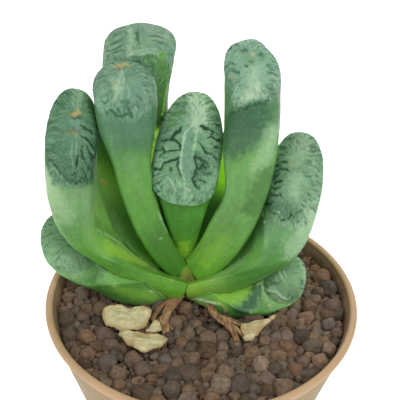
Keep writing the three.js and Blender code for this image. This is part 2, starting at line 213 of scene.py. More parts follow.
def closed_skin(rings):
    """Points and faces of a closed skin over rings, shape (rings, sides, 3)."""
    count, sides, _ = rings.shape
    points = np.concatenate([rings.reshape(-1, 3), [rings[0].mean(0)], [rings[-1].mean(0)]])
    first = count * sides
    faces = grid_faces(count, sides)
    last = (count - 1) * sides
    for j in range(sides):
        k = (j + 1) % sides
        faces.append((first, k, j))
        faces.append((first + 1, last + j, last + k))
    return points, outward(points, faces)


def as_quads(faces):
    """Quads and triangles as one table of four corners, with a triangle's last corner twice."""
    return np.array([face if len(face) == 4 else (*face, face[-1]) for face in faces])


def outward(points, faces):
    """The faces, turned over if they look inwards."""
    a, b, c, d = (points[corner] for corner in as_quads(faces).T)
    volume = np.sum(a * (np.cross(b, c) + np.cross(c, d)))
    return faces if volume > 0 else [tuple(reversed(face)) for face in faces]


def point_normals(points, faces):
    quads = as_quads(faces)
    across = np.cross(points[quads[:, 2]] - points[quads[:, 0]], points[quads[:, 3]] - points[quads[:, 1]])
    normals = np.zeros_like(points)
    for k in range(4):
        np.add.at(normals, quads[:, k], across)
    length = np.linalg.norm(normals, axis=1, keepdims=True)
    return normals / np.maximum(length, 1e-9)


# ---- Materials ----
# Tints of the finest detail, as screen values.
THREAD = (44, 88, 60)
LACE = (176, 202, 174)
PAPILLA = (190, 214, 190)
PIT = (52, 40, 34)
BLOTCH = (160, 128, 84)
WHITE = (1.0, 1.0, 1.0, 1.0)
FLOOR_TONE = (0.9, 0.9, 0.9, 1.0)


class Nodes:
    """A material's node tree, with short ways to add nodes and links."""

    def __init__(self, name):
        self.material = bpy.data.materials.new(name)
        self.material.use_nodes = True
        self.tree = self.material.node_tree
        self.shader = self.tree.nodes["Principled BSDF"]

    def add(self, kind, inputs=None, **settings):
        node = self.tree.nodes.new("ShaderNode" + kind)
        for key, value in settings.items():
            setattr(node, key, value)
        for key, value in (inputs or {}).items():
            self.put(value, node.inputs[key])
        return node

    def put(self, value, socket):
        if isinstance(value, bpy.types.NodeSocket):
            self.tree.links.new(value, socket)
        else:
            socket.default_value = value

    def attribute(self, name):
        return self.add("Attribute", attribute_name=name)

    def place(self):
        return self.add("TexCoord").outputs["Object"]

    def grain(self, size_mm, detail=3.0, rough=0.55):
        """Noise with grains of about this size."""
        inputs = {"Vector": self.place(), "Scale": 1 / (size_mm * MM), "Detail": detail, "Roughness": rough}
        return self.add("TexNoise", inputs).outputs["Fac"]

    def noise_at(self, place, detail=3.0, rough=0.6):
        """Noise with one grain to a unit of place."""
        inputs = {"Vector": place, "Scale": 1.0, "Detail": detail, "Roughness": rough}
        return self.add("TexNoise", inputs).outputs["Fac"]

    def cells(self, size_mm):
        """Distance from the middle of the nearest cell of about this size, in cells."""
        inputs = {"Vector": self.place(), "Scale": 1 / (size_mm * MM)}
        return self.add("TexVoronoi", inputs).outputs["Distance"]

    def remap(self, value, low, high, to_low, to_high):
        inputs = {"Value": value, "From Min": low, "From Max": high, "To Min": to_low, "To Max": to_high}
        return self.add("MapRange", inputs).outputs["Result"]

    def maths(self, operation, a, b):
        return self.add("Math", {0: a, 1: b}, operation=operation).outputs[0]

    def tinted(self, colour, share, tint):
        """colour moved towards tint by share."""
        node = self.add("Mix", data_type="RGBA", blend_type="MIX")
        self.put(share, node.inputs[0])
        self.put(colour, node.inputs[6])
        self.put((*linear(tint), 1.0), node.inputs[7])
        return node.outputs[2]

    def brightened(self, colour, factor):
        """colour times a factor."""
        node = self.add("VectorMath", {0: colour}, operation="SCALE")
        self.put(factor, node.inputs["Scale"])
        return node.outputs["Vector"]

    def bump(self, height, depth_mm, strength=1.0, under=None):
        inputs = {"Height": height, "Distance": depth_mm * MM, "Strength": strength}
        node = self.add("Bump", inputs)
        if under is not None:
            self.put(under, node.inputs["Normal"])
        return node.outputs["Normal"]

    def finish(self, colour, roughness, normal, **constants):
        self.put(colour, self.shader.inputs["Base Color"])
        self.put(roughness, self.shader.inputs["Roughness"])
        self.put(normal, self.shader.inputs["Normal"])
        for key, value in constants.items():
            self.shader.inputs[key.replace("_", " ")].default_value = value
        return self.material


def leaf_material():
    """Satin leaf skin with lengthwise streaks. Its window has fine cross veins and pale papillae.
    Thin leaf with light behind it glows a little."""
    n = Nodes("leaf_skin")
    window = n.attribute("window").outputs["Fac"]
    veined = n.attribute("veined").outputs["Fac"]
    dotted = n.attribute("dotted").outputs["Fac"]
    colour = n.attribute("paint").outputs["Color"]
    ribs = n.attribute("ribs").outputs["Vector"]
    strands = n.attribute("strands").outputs["Vector"]
    colour = n.brightened(colour, n.remap(n.noise_at(strands), 0.3, 0.7, 0.93, 1.07))
    colour = n.brightened(colour, n.remap(n.grain(1.2, 4.0, 0.7), 0.3, 0.7, 0.9, 1.1))
    veins = n.noise_at(ribs, 3.0, 0.62)
    dark = n.maths("MULTIPLY", n.remap(veins, 0.53, 0.62, 0.0, 0.72), veined)
    pale = n.maths("MULTIPLY", n.remap(veins, 0.47, 0.36, 0.0, 0.2), veined)
    colour = n.tinted(colour, dark, THREAD)
    colour = n.tinted(colour, pale, LACE)
    dots = n.remap(n.cells(0.5), 0.1, 0.3, 0.24, 0.0)
    colour = n.tinted(colour, n.maths("MULTIPLY", dots, dotted), PAPILLA)
    n.put(n.attribute("glow").outputs["Fac"], n.shader.inputs["Emission Strength"])
    n.put(colour, n.shader.inputs["Emission Color"])
    roughness = n.remap(window, 0, 1, 0.42, 0.55)
    normal = n.bump(n.grain(0.5, 2.0), 0.08, 0.5)
    normal = n.bump(n.cells(0.42), 0.05, 0.4, normal)
    normal = n.bump(veins, 0.1, 0.35, normal)
    return n.finish(
        colour, roughness, normal,
        Subsurface_Weight=0.14, Subsurface_Radius=(0.8, 1.2, 0.4), Subsurface_Scale=0.0012,
        Specular_IOR_Level=0.36,
    )


def pebble_material():
    n = Nodes("grit")
    colour = n.attribute("paint").outputs["Color"]
    colour = n.brightened(colour, n.remap(n.grain(1.1), 0.3, 0.7, 0.72, 1.28))
    colour = n.tinted(colour, n.remap(n.cells(0.35), 0.05, 0.16, 0.4, 0.0), PIT)
    normal = n.bump(n.grain(0.7, 4.0, 0.65), 0.35, 0.8)
    normal = n.bump(n.grain(0.18, 2.0), 0.08, 0.6, normal)
    return n.finish(colour, 0.92, normal, Specular_IOR_Level=0.2)


def pot_material():
    n = Nodes("pot_clay")
    colour = n.attribute("paint").outputs["Color"]
    colour = n.brightened(colour, n.remap(n.grain(9.0, 3.0), 0.3, 0.7, 0.95, 1.05))
    colour = n.brightened(colour, n.remap(n.grain(0.5, 2.0), 0.3, 0.7, 0.97, 1.03))
    normal = n.bump(n.grain(0.6, 3.0), 0.05, 0.4)
    normal = n.bump(n.grain(7.0, 2.0), 0.12, 0.3, normal)
    return n.finish(colour, n.remap(n.grain(3.0), 0.3, 0.7, 0.5, 0.66), normal, Specular_IOR_Level=0.35)


def dry_material():
    n = Nodes("dry_leaf")
    colour = n.attribute("paint").outputs["Color"]
    colour = n.brightened(colour, n.remap(n.grain(1.4), 0.3, 0.7, 0.88, 1.12))
    colour = n.tinted(colour, n.remap(n.grain(2.6, 4.0), 0.56, 0.7, 0.0, 0.3), BLOTCH)
    normal = n.bump(n.grain(0.8, 4.0), 0.2, 0.7)
    return n.finish(
        colour, 0.8, normal, Specular_IOR_Level=0.25,
        Subsurface_Weight=0.15, Subsurface_Radius=(1.0, 0.8, 0.5), Subsurface_Scale=0.0008,
    )


def floor_material():
    n = Nodes("pale_floor")
    n.shader.inputs["Emission Color"].default_value = WHITE
    n.shader.inputs["Emission Strength"].default_value = 0.6
    colour = n.add("RGB")
    colour.outputs[0].default_value = FLOOR_TONE
    n.put(colour.outputs[0], n.shader.inputs["Base Color"])
    n.shader.inputs["Roughness"].default_value = 0.9
    return n.material


LEAF = leaf_material()
GRIT = pebble_material()
CLAY = pot_material()
DRY = dry_material()

# ---- Leaves ----
# As in the solids: the spine from foot to the middle of the window, with the section's width
# and the depth of its outer side at the same four points. foot: direction of the section's
# width at the foot, and its slope. face: where the window looks, to the right of the front and
# above level, and its turn in its own plane. side: a side leaf has its broad way front to back.
# dents: in the window's outline, each with its angle, depth and half width. waist: where along
# the leaf it narrows, by how much, over what length, and on which side.
LEAVES = {
    "leaf_centre": dict(
        spine=[(-4.5, 10, 64), (-4.5, 9, 73), (-6, 9, 87), (-4, 12, 98.5)],
        width=(3, 6.5, 15, 18.5), depth=(2, 4, 5.5, 7), foot=(0, 0),
        face=(-4, 30, -6), window=(16.5, 27), side=0, inner=0.3, bend=0.55, egg=0.12),
    "leaf_left_inner": dict(
        spine=[(-6, 6.5, 63.5), (-16, 7, 76), (-19, 9, 93), (-19.5, 14, 112.5)],
        width=(5.5, 8.5, 8, 12.5), depth=(3, 4.5, 6, 7), foot=(22, 0),
        face=(6, 58, 4), window=(15, 16), side=0, inner=0.5, bend=0.66, egg=0),
    "leaf_right_inner": dict(
        spine=[(-2, 6.5, 63.5), (11, 6, 77), (11.5, 8, 100), (10.5, 14, 117)],
        width=(8, 11.5, 15, 13.5), depth=(4, 6, 7, 7), foot=(-25, 0),
        face=(-20, 50, 24), window=(13, 19.5), side=0, inner=0.45, bend=0.55, egg=0,
        dents=[(170, 0.24, 13), (318, 0.1, 24), (228, -0.06, 20)], waist=(0.48, 0.33, 0.14, -1)),
    "leaf_back_tall": dict(
        spine=[(-5.5, 14, 60.5), (-12, 17, 79), (-20, 22, 103), (-16.5, 26, 119)],
        width=(10, 14, 13.5, 16), depth=(3, 4.5, 6, 6), foot=(10, 0),
        face=(0, 60, -10), window=(17.5, 13), side=0, inner=0.6, bend=0.65, egg=0.1,
        dents=[(52, 0.14, 14), (228, 0.1, 24), (318, -0.06, 24)]),
    "leaf_left_outer": dict(
        spine=[(-4.5, 3, 62.5), (-17.5, 3, 67.5), (-35, 4, 75), (-32, 8, 102)],
        width=(9, 10, 9, 8), depth=(5.5, 5, 4, 7), foot=(90, -0.7),
        face=(26, 38, -19), window=(12.5, 25), side=1, inner=0.1, bend=0.35, egg=0),
    "leaf_right_outer": dict(
        spine=[(-4, 3, 62), (9.5, 3.5, 66), (21, 4, 78), (22.5, 9, 91)],
        width=(9, 13, 14, 15), depth=(4, 5.5, 10, 7), foot=(-90, 0.7),
        face=(-24, 38, 9), window=(13.5, 25), side=-1, inner=0.1, bend=0.35, egg=0),
    "leaf_behind_left": dict(
        spine=[(-6.5, 9, 63), (-18.5, 11, 66.5), (-27.5, 15, 78.5), (-32.5, 22, 97)],
        width=(10, 18, 17, 11), depth=(2, 4, 4.5, 4.5), foot=(45, 0),
        face=(10, 50, 0), window=(11, 10), side=0, inner=0.5, bend=0.55, egg=0),
    "leaf_behind_right": dict(
        spine=[(-3, 13, 61.5), (2, 17, 68), (6, 22, 79.5), (10.5, 28, 95.5)],
        width=(9, 12, 12, 11), depth=(2, 4, 4.5, 4.5), foot=(-20, 0),
        face=(-5, 50, 0), window=(10.5, 9), side=0, inner=0.5, bend=0.55, egg=0),
    "leaf_behind_centre": dict(
        spine=[(-4.5, 15, 60), (-4.5, 24, 62.5), (-4, 30, 74), (-4, 34, 88.5)],
        width=(9, 12, 13, 13), depth=(2, 4, 4.5, 4.5), foot=(0, 0),
        face=(0, 60, 0), window=(13, 10), side=0, inner=0.5, bend=0.55, egg=0),
    "leaf_right_low": dict(
        spine=[(-4.5, 5.5, 60.5), (7, 2, 61.5), (15, -2, 62.5), (21.5, 1.5, 66)],
        width=(8, 13, 15, 13), depth=(4, 6, 12.5, 5.5), foot=(-80, 0.7),
        face=(-18, 38, 4), window=(10.5, 13), side=-1, inner=0.1, bend=0.5, egg=0),
    "leaf_left_low": dict(
        spine=[(-5, 5.5, 61), (-15, 3.5, 65.5), (-28.5, 0.5, 67.5), (-34, 6.5, 72.5)],
        width=(9, 12, 12, 14), depth=(4.5, 12, 10, 6.5), foot=(85, -0.7),
        face=(20, 38, 2), window=(15.5, 16.5), side=1, inner=0.1, bend=0.5, egg=0),
}
WINDOW_DOME = 2.4
MARGIN_POWER = 4.5
ROUND_POWER = 2.4
BACK_POWER = 2.3
CLEARANCE = 0.3  # kept between leaves that clasp each other
BODY_RINGS = 110
WINDOW_RINGS = 46
LEAF_SIDES = 176


def window_axes(face):
    turn, tilt, spin = (math.radians(a) for a in face)
    normal = np.array([
        math.sin(turn) * math.cos(tilt),
        -math.cos(turn) * math.cos(tilt),
        math.sin(tilt),
    ])
    level = np.array([math.cos(turn), math.sin(turn), 0.0])
    across = level * math.cos(spin) + np.cross(normal, level) * math.sin(spin)
    return normal, across, np.cross(normal, across)


class Leaf:
    """A leaf's fine skin, with where each point lies on it."""

    def __init__(self, name, spec):
        self.name = name
        self.spec = spec
        self.normal, self.across, self.up = window_axes(spec["face"])
        self.middle = np.array(spec["spine"][3], float)
        rings = self.sections()
        self.points, self.faces = closed_skin(rings)
        self.place(rings)

    def sections(self):
        spec = self.spec
        side = spec["side"]
        wide_half, long_half = spec["window"][0] / 2, spec["window"][1] / 2
        end_wide = self.up * side * long_half if side else self.across * wide_half
        end_deep = self.across * side * wide_half if side else -self.up * long_half
        angle, slope = spec["foot"]
        foot_wide = unit([math.cos(math.radians(angle)), math.sin(math.radians(angle)), slope])
        t = np.linspace(0, 1, BODY_RINGS)
        centres = bezier(spec["spine"], t)
        tangent = unit(bezier_slope(spec["spine"], t))
        lean = ease((t - spec["bend"]) / (1 - spec["bend"]))[:, None]
        wide = blend(foot_wide, unit(end_wide), ease(t))
        wide = unit(wide - np.sum(wide * tangent, 1, keepdims=True) * tangent)
        inward = np.cross(wide, tangent)
        width = bezier(spec["width"], t)[:, None] / 2
        depth = bezier(spec["depth"], t)[:, None]
        wide_axis = wide * (1 - lean) * width + end_wide * lean
        deep_axis = inward * (1 - lean) * depth + end_deep * lean
        lean = lean[:, 0]
        inner = spec["inner"] + (1 - spec["inner"]) * lean
        power = MARGIN_POWER + (ROUND_POWER - MARGIN_POWER) * lean
        waist_at, waist_depth, waist_reach, waist_side = spec.get("waist", (0, 0, 1, 1))
        narrow = waist_depth * np.exp(-(((t - waist_at) / waist_reach) ** 2))
        full = np.ones(BODY_RINGS)
        body = self.rings(centres, wide_axis, deep_axis, lean, inner, power, full, narrow, waist_side)
        turn = np.linspace(0, math.pi / 2, WINDOW_RINGS + 1)[1:-1]
        scale = np.cos(turn)
        rise = WINDOW_DOME * (1 - scale**3.2) ** 0.6
        gentle = WINDOW_DOME * (1 - scale**2)  # towards the near margin
        ones = np.ones(len(scale))
        tops = np.tile(self.middle, (len(scale), 1))
        cap = self.rings(tops, ones[:, None] * end_wide, ones[:, None] * end_deep, ones, ones,
                         ones * ROUND_POWER, scale, ones * 0, 1)
        near = step(0.3, 0.9, -((cap - self.middle) @ self.up) / long_half / scale[:, None])
        cap += (rise[:, None] + (gentle - rise)[:, None] * near)[..., None] * self.normal
        self.scale = np.r_[full, scale]
        self.centres = np.concatenate([centres, tops])
        self.t = np.r_[t, np.ones(len(scale))]
        return np.concatenate([body, cap])

    def rings(self, centres, wide, deep, lean, inner, power, scale, narrow, narrow_side):
        angle = np.linspace(0, 2 * math.pi, LEAF_SIDES, endpoint=False)
        c, s = np.cos(angle)[None, :], np.sin(angle)[None, :]
        p = np.where(s > 0, power[:, None], BACK_POWER)
        radius = (np.abs(c) ** p + np.abs(s) ** p) ** (-1 / p)
        x = radius * c
        y = radius * s * np.where(s > 0, inner[:, None], 1.0)
        dent = np.ones_like(x)
        for dent_angle, dent_depth, dent_width in self.spec.get("dents", []):
            away = (np.degrees(angle) - dent_angle + 540) % 360 - 180
            dent *= 1 - (lean**2)[:, None] * dent_depth * np.exp(-((away / dent_width) ** 2))[None, :]
        x = x * (1 - narrow[:, None] * (c * narrow_side > 0))
        widen = 1 + self.spec["egg"] * lean[:, None] * y
        x = (x * widen * dent * scale[:, None])[..., None]
        y = (y * dent * scale[:, None])[..., None]
        return centres[:, None, :] + x * wide[:, None, :] + y * deep[:, None, :]

    def place(self, rings):
        """Where each point is: along the leaf, from the window's margin, and in the window's plane."""
        count = len(rings)
        steps = np.linalg.norm(np.diff(rings, axis=0), axis=2)
        run = np.concatenate([np.zeros((1, LEAF_SIDES)), np.cumsum(steps, axis=0)])
        past = run - run[BODY_RINGS - 1]
        self.past_edge = np.r_[past.ravel(), past[0].mean(), past[-1].max()]
        self.along = np.r_[np.repeat(self.t, LEAF_SIDES), 0.0, 1.0]
        self.disc = np.r_[np.repeat(self.scale, LEAF_SIDES), 1.0, 0.0]
        self.foot_distance = np.r_[run.ravel(), 0.0, run[-1].max()]
        angle = np.linspace(0, 2 * math.pi, LEAF_SIDES, endpoint=False)
        self.around = np.r_[np.tile(angle, count), 0.0, 0.0]
        flat = self.points - self.middle
        self.u = flat @ self.across
        self.v = flat @ self.up

    def tree(self):
        return BVHTree.FromPolygons(self.points.tolist(), self.faces)


def clasp(leaf, inner_trees):
    """Draws the sections of a leaf back where they would enter an inner leaf, so that it clasps it."""
    centres = np.r_[np.repeat(leaf.centres, LEAF_SIDES, axis=0), leaf.points[-2:]]
    for tree, low, high in inner_trees:
        near = np.all((leaf.points > low) & (leaf.points < high), axis=1)
        for i in np.nonzero(near)[0]:
            centre, point = Vector(centres[i]), Vector(leaf.points[i])
            reach = (point - centre).length
            ray = (point - centre).normalized()
            found, normal, _, distance = tree.ray_cast(centre, ray, reach + CLEARANCE)
            if found is None:
                continue
            if normal.dot(ray) < 0:
                leaf.points[i] = centre + ray * max(distance - CLEARANCE, 0.02 * reach)
            elif distance > reach:
                found, normal, _, _ = tree.find_nearest(point)
                leaf.points[i] = found + normal * CLEARANCE


def build_leaves():
    leaves = {}
    inner = []
    for name, spec in LEAVES.items():
        leaf = Leaf(name, spec)
        clasp(leaf, inner)
        low, high = leaf.points.min(0) - CLEARANCE, leaf.points.max(0) + CLEARANCE
        inner.append((leaf.tree(), low, high))
        leaves[name] = leaf
    return leaves


# ---- What is painted on each leaf ----
# Colours of the skin, and of painted shade and light on it, as screen values.
VEIN = (14, 58, 28)
# SHADE is a dark green for dark marks on the skin and, in wide patches, for painted shade.
SHADE = (56, 98, 66)
TEAL = (104, 146, 122)
PALE = (176, 204, 170)
MILKY = (200, 214, 186)
SCAR = (182, 160, 92)
RUST = (140, 108, 82)
TAN = (188, 176, 128)
LIME = (150, 200, 60)
LIT = (160, 214, 84)
HEART = (136, 204, 30)
# Painted shade: a dark teal green for shade under the windows and between leaves.
TEAL_SHADE = (72, 116, 84)
# MOSS is a dark moss green for dark marks and, in wide patches, for painted shade between leaves.
MOSS = (70, 118, 52)
LEAF_GREEN = (84, 144, 58)
DOT = (206, 222, 190)
# RIM is a pale edge colour: partly the margin's own paler colour, partly painted highlight where an edge
# catches the light.
RIM = (152, 168, 146)
FLANK_SHADE = (0.72, 0.84, 0.68)  # what is left of each colour on a leaf's flanks

# Marks read from the photograph: colour, half width in mm, strength, relief in mm, and lines
# of points in pixels of the photograph. A mark that is PATCH or wider is a soft patch, else a line.
PATCH = 0.6
MARK_GLOW = {LIME: 0.2, LIT: 0.6}  # of thin leaf lit from behind
MARKS = {
    "leaf_centre": [
        (PALE, 2.6, 0.8, 0, [(196, 98), (202, 110), (198, 122)]),
        (PALE, 1.4, 0.5, 0, [(172, 97), (168, 106), (166, 114)]),
        (TEAL, 1.1, 0.8, -0.1, [(188, 132), (186, 150), (188, 176)]),
        (PALE, 0.25, 0.7, 0.1, [(193, 124), (185, 133), (181, 150), (181, 168), (184, 180)]),
        (PALE, 0.22, 0.6, 0.1, [(198, 127), (195, 142), (192, 158)]),
        (PALE, 0.22, 0.6, 0, [(176, 178), (182, 186), (190, 190), (192, 198)],
         [(184, 182), (186, 192), (184, 200)]),
        (PALE, 0.2, 0.6, 0, [(166, 176), (172, 182), (176, 192)]),
        (MOSS, 0.45, 0.8, 0, [(172, 115), (178, 113), (186, 112)]),
        (MOSS, 0.3, 0.7, 0, [(171, 103), (178, 104), (184, 102)], [(168, 120), (175, 119)],
         [(166, 127), (173, 126), (178, 122)]),
        (MOSS, 0.25, 0.8, 0, [(206, 104), (213, 101)], [(207, 112), (215, 108)], [(209, 118), (217, 116)]),
        (VEIN, 0.42, 1.0, -0.15, [(181, 128), (178, 132), (174, 135), (170, 140)]),
        (VEIN, 0.4, 1.0, -0.15, [(200, 126), (205, 128), (210, 130)]),
        (VEIN, 0.34, 1.0, -0.1, [(163, 164), (161, 169), (155, 170), (151, 169)]),
        (VEIN, 0.3, 0.9, -0.1, [(215, 123), (219, 126)]),
        (VEIN, 0.24, 1.0, -0.1, [(180, 157), (176, 160), (170, 161), (164, 163), (162, 165)]),
        (VEIN, 0.22, 1.0, -0.1, [(172, 138), (166, 140), (161, 142)],
         [(178, 150), (170, 151), (166, 152), (161, 147)], [(210, 130), (214, 133), (211, 135)],
         [(208, 138), (212, 137), (217, 141), (222, 140)]),
        (VEIN, 0.2, 1.0, -0.1, [(172, 139), (176, 142), (181, 145), (180, 151)],
         [(166, 151), (162, 154), (159, 158)]),
        (VEIN, 0.2, 0.9, -0.1, [(178, 160), (178, 168), (180, 174), (182, 178)], [(170, 166), (171, 172)],
         [(198, 141), (202, 146), (206, 152), (212, 155), (216, 160), (220, 161)], [(214, 146), (219, 148)]),
        (VEIN, 0.2, 0.8, -0.1, [(155, 150), (160, 150), (163, 147)]),
        (VEIN, 0.2, 0.8, 0, [(152, 186), (156, 184), (162, 181)], [(152, 178), (157, 174), (161, 174)],
         [(156, 193), (160, 190)]),
        (VEIN, 0.2, 0.7, 0, [(161, 200), (165, 196)]),
        (SHADE, 1.5, 0.6, 0, [(197, 156), (204, 162), (198, 174)]),
        (VEIN, 0.4, 0.9, -0.15, [(193, 180), (195, 184), (199, 189)]),
        (VEIN, 0.3, 0.9, -0.15, [(194, 153), (195, 158), (200, 158), (204, 161), (208, 164)],
         [(204, 161), (201, 168), (196, 170), (194, 176), (193, 180)]),
        (VEIN, 0.2, 0.9, -0.1, [(195, 158), (196, 166), (197, 170)], [(201, 165), (206, 168), (210, 166)],
         [(198, 179), (204, 182), (207, 183)]),
        (VEIN, 0.2, 0.8, -0.1, [(202, 173), (208, 175), (213, 172)]),
        (LIME, 2.2, 0.6, 0, [(184, 246), (187, 262)]),
    ],
    "leaf_left_outer": [
        (PALE, 1.6, 0.35, 0, [(78, 92), (76, 104)]),
        (LEAF_GREEN, 1.6, 0.35, 0, [(88, 98), (92, 112)]),
        (TEAL, 1.1, 0.8, 0, [(73, 121), (78, 126)]),
        (SHADE, 3.2, 0.5, 0, [(52, 158), (60, 166), (70, 174)]),
        (SHADE, 2.0, 0.75, 0, [(94, 146), (94, 162), (91, 178)]),
        (PALE, 0.2, 0.3, 0.1, [(73, 136), (71, 150), (73, 166)]),
        (PALE, 0.2, 0.25, 0.1, [(77, 134), (76, 148), (75, 160)]),
        (SCAR, 0.35, 0.85, -0.1, [(70, 115), (76, 114), (81, 113)]),
        (RUST, 0.25, 0.8, -0.1, [(70, 114), (74, 117)]),
        (SCAR, 0.22, 0.7, 0, [(76, 110), (80, 112)]),
        (RUST, 0.3, 0.6, -0.1, [(69, 130), (74, 132), (78, 130)]),
        (SCAR, 0.22, 0.5, 0, [(72, 133), (78, 134)]),
        (VEIN, 0.35, 0.8, 0, [(96, 140), (97, 158), (96, 174)]),
        (VEIN, 0.3, 1.0, -0.1, [(78, 156), (77, 162), (77, 168)]),
        (VEIN, 0.26, 1.0, -0.1, [(82, 136), (87, 139), (91, 144), (95, 150)],
         [(90, 153), (93, 157), (96, 160)]),
        (VEIN, 0.24, 1.0, -0.1, [(81, 125), (86, 129), (90, 131), (93, 134)]),
        (VEIN, 0.22, 0.9, -0.1, [(86, 146), (90, 152), (92, 160), (96, 166)],
         [(85, 163), (90, 169), (92, 176), (94, 182)]),
        (VEIN, 0.2, 0.9, -0.1, [(83, 146), (81, 151), (82, 157), (86, 161)],
         [(82, 168), (86, 174), (88, 180)]),
        (VEIN, 0.2, 0.7, 0, [(72, 118), (80, 119)]),
        (VEIN, 0.18, 0.9, 0, [(79, 177), (83, 178), (87, 182)]),
        (VEIN, 0.18, 0.8, 0, [(70, 176), (74, 174), (76, 178)]),
        (VEIN, 0.16, 0.9, 0, [(77, 184), (81, 181), (85, 185)]),
        (VEIN, 0.16, 0.8, 0, [(63, 175), (66, 179), (70, 180)], [(70, 182), (74, 180), (77, 184)],
         [(86, 185), (89, 182), (93, 184)]),
        (VEIN, 0.14, 0.6, 0, [(52, 160), (57, 168), (61, 173)]),
        (PALE, 0.16, 0.35, 0.1, [(50, 163), (58, 174), (68, 184), (76, 188)]),
        # Pale waxy bloom and painted highlight on the lower outer side.
        (MILKY, 2.8, 0.3, 0, [(46, 175), (54, 196), (64, 216)]),
        (PALE, 2.0, 0.3, 0, [(118, 250), (134, 258), (150, 268)]),
        # Painted shade on the inner face above the ridge, under the next leaf.
        (MOSS, 1.8, 0.4, 0, [(98, 224), (114, 236), (130, 246)]),
        (PALE, 0.25, 0.6, 0.15, [(97, 229), (110, 236), (125, 247), (140, 259), (155, 268), (172, 275)]),
        (SCAR, 0.25, 0.8, 0, [(133, 256), (140, 260)]),
        (TAN, 0.35, 0.8, 0, [(168, 276), (178, 278), (187, 280)]),
        (LIME, 2.4, 0.6, 0, [(112, 248), (130, 257), (142, 262)]),
    ],
    "leaf_left_inner": [
        (PALE, 1.4, 0.4, 0, [(112, 80), (118, 88)]),
        (TEAL, 2.6, 0.5, 0, [(140, 88), (136, 104), (124, 108)]),
        (PALE, 0.9, 0.35, 0, [(122, 72), (119, 84), (116, 98)]),
        (PALE, 0.16, 0.4, 0.05, [(122, 70), (119, 80), (115, 92), (114, 104)],
         [(124, 72), (123, 86), (121, 96), (122, 106)], [(126, 84), (129, 92), (128, 102)]),
        (SCAR, 0.35, 0.3, 0, [(113, 82), (118, 84)]),
        (SHADE, 1.0, 0.6, 0, [(124, 104), (130, 108)]),
        (VEIN, 0.3, 0.9, 0, [(121, 118), (127, 114), (130, 115)]),
        (VEIN, 0.26, 0.9, 0, [(110, 109), (113, 112), (118, 116), (123, 117)]),
        (VEIN, 0.24, 0.9, 0, [(128, 108), (131, 114), (133, 119)]),
        (VEIN, 0.18, 0.8, 0, [(117, 108), (120, 113)]),
        (SHADE, 0.22, 0.8, 0, [(101, 101), (106, 103)], [(139, 121), (142, 115)]),
        (SHADE, 0.22, 0.7, 0, [(134, 104), (140, 108)], [(136, 96), (143, 100)]),
        (SCAR, 0.3, 0.85, 0.05, [(112, 62), (118, 65), (121, 68)], [(128, 59), (124, 63), (121, 68)]),
        (SCAR, 0.25, 0.7, 0, [(123, 66), (131, 64)]),
        (RUST, 0.25, 0.9, 0, [(118, 68), (121, 70)]),
        (SHADE, 1.0, 0.5, 0, [(141, 65), (147, 68), (150, 74)]),
        (PALE, 0.22, 0.7, 0.1, [(153, 80), (157, 94), (158, 106), (157, 118), (154, 132)]),
        # Painted shade on the body below the window.
        (TEAL_SHADE, 4.0, 0.7, 0, [(112, 124), (130, 128), (146, 124)]),
        (TEAL_SHADE, 3.4, 0.5, 0, [(124, 140), (142, 142)]),
        # Painted highlight: a faint pale band along the middle of the rounded body.
        (PALE, 2.0, 0.12, 0, [(130, 158), (134, 176), (140, 192)]),
        (DOT, 0.3, 0.9, 0.15, [(160, 238), (161, 239)]),
        (DOT, 0.25, 0.8, 0.1, [(143, 88), (144, 88)]),
        # Painted highlight along the right edge.
        (PALE, 0.25, 0.6, 0.1, [(158, 212), (164, 226), (168, 233)]),
        # Painted shade low on the body, beside the crevice towards the centre leaf.
        (MOSS, 4.0, 0.45, 0, [(160, 236), (172, 262)]),
    ],
    "leaf_back_tall": [
        (PALE, 0.9, 0.5, 0.1, [(131, 30), (131, 42), (130, 54)]),
        (SHADE, 0.35, 0.9, -0.1, [(137, 29), (137, 36), (139, 44)]),
        (TEAL, 1.6, 0.6, 0, [(141, 30), (148, 32)]),
        (RIM, 2.2, 0.5, 0, [(152, 30), (163, 38)]),
        (SHADE, 2.2, 0.5, -0.1, [(140, 62), (149, 60), (156, 66)]),
        (RIM, 1.4, 0.5, 0, [(104, 44), (102, 58)]),
        (PALE, 0.5, 0.4, 0.2, [(127, 57), (135, 53), (146, 50), (156, 50)]),
        (SHADE, 0.25, 0.7, 0, [(124, 38), (116, 42), (108, 47)], [(124, 44), (116, 48), (107, 52)],
         [(123, 50), (115, 53), (106, 57)]),
        (SHADE, 0.25, 0.6, 0, [(122, 32), (116, 35), (112, 39)], [(152, 40), (160, 42), (166, 46)],
         [(148, 36), (157, 36), (163, 38)]),
        (PALE, 0.25, 0.6, 0.1, [(137, 56), (148, 53), (158, 54), (161, 60)]),
        (MOSS, 0.3, 0.9, -0.1, [(142, 58), (150, 57), (156, 60), (157, 68)],
         [(148, 62), (153, 66), (153, 74)]),
        (PALE, 0.22, 0.6, 0.1, [(152, 58), (156, 64), (156, 74)]),
        (TAN, 0.25, 0.5, 0, [(160, 52), (163, 56), (161, 62)]),
        # Painted shade on the face below the window, under the leaves in front.
        (TEAL_SHADE, 1.6, 0.5, 0, [(150, 64), (158, 70), (162, 80)]),
        (LEAF_GREEN, 0.25, 0.8, 0.1, [(144, 64), (154, 60), (163, 66), (166, 78)]),
        (LEAF_GREEN, 0.2, 0.7, 0.1, [(148, 69), (156, 68), (161, 76), (162, 86)]),
        (LEAF_GREEN, 1.6, 0.8, -0.1, [(164, 58), (165, 72), (163, 84)]),
        (TEAL, 0.9, 0.8, 0, [(169, 46), (171, 58), (171, 70)]),
        (LIT, 0.35, 0.7, 0, [(168, 84), (165, 100), (162, 116)]),
        # Painted shade on the face below the window, under the leaves in front.
        (MOSS, 3.2, 0.7, 0, [(163, 78), (163, 92), (161, 106)]),
        (LIT, 1.6, 0.9, 0, [(160, 132), (157, 142), (153, 158)]),
    ],
    "leaf_right_inner": [
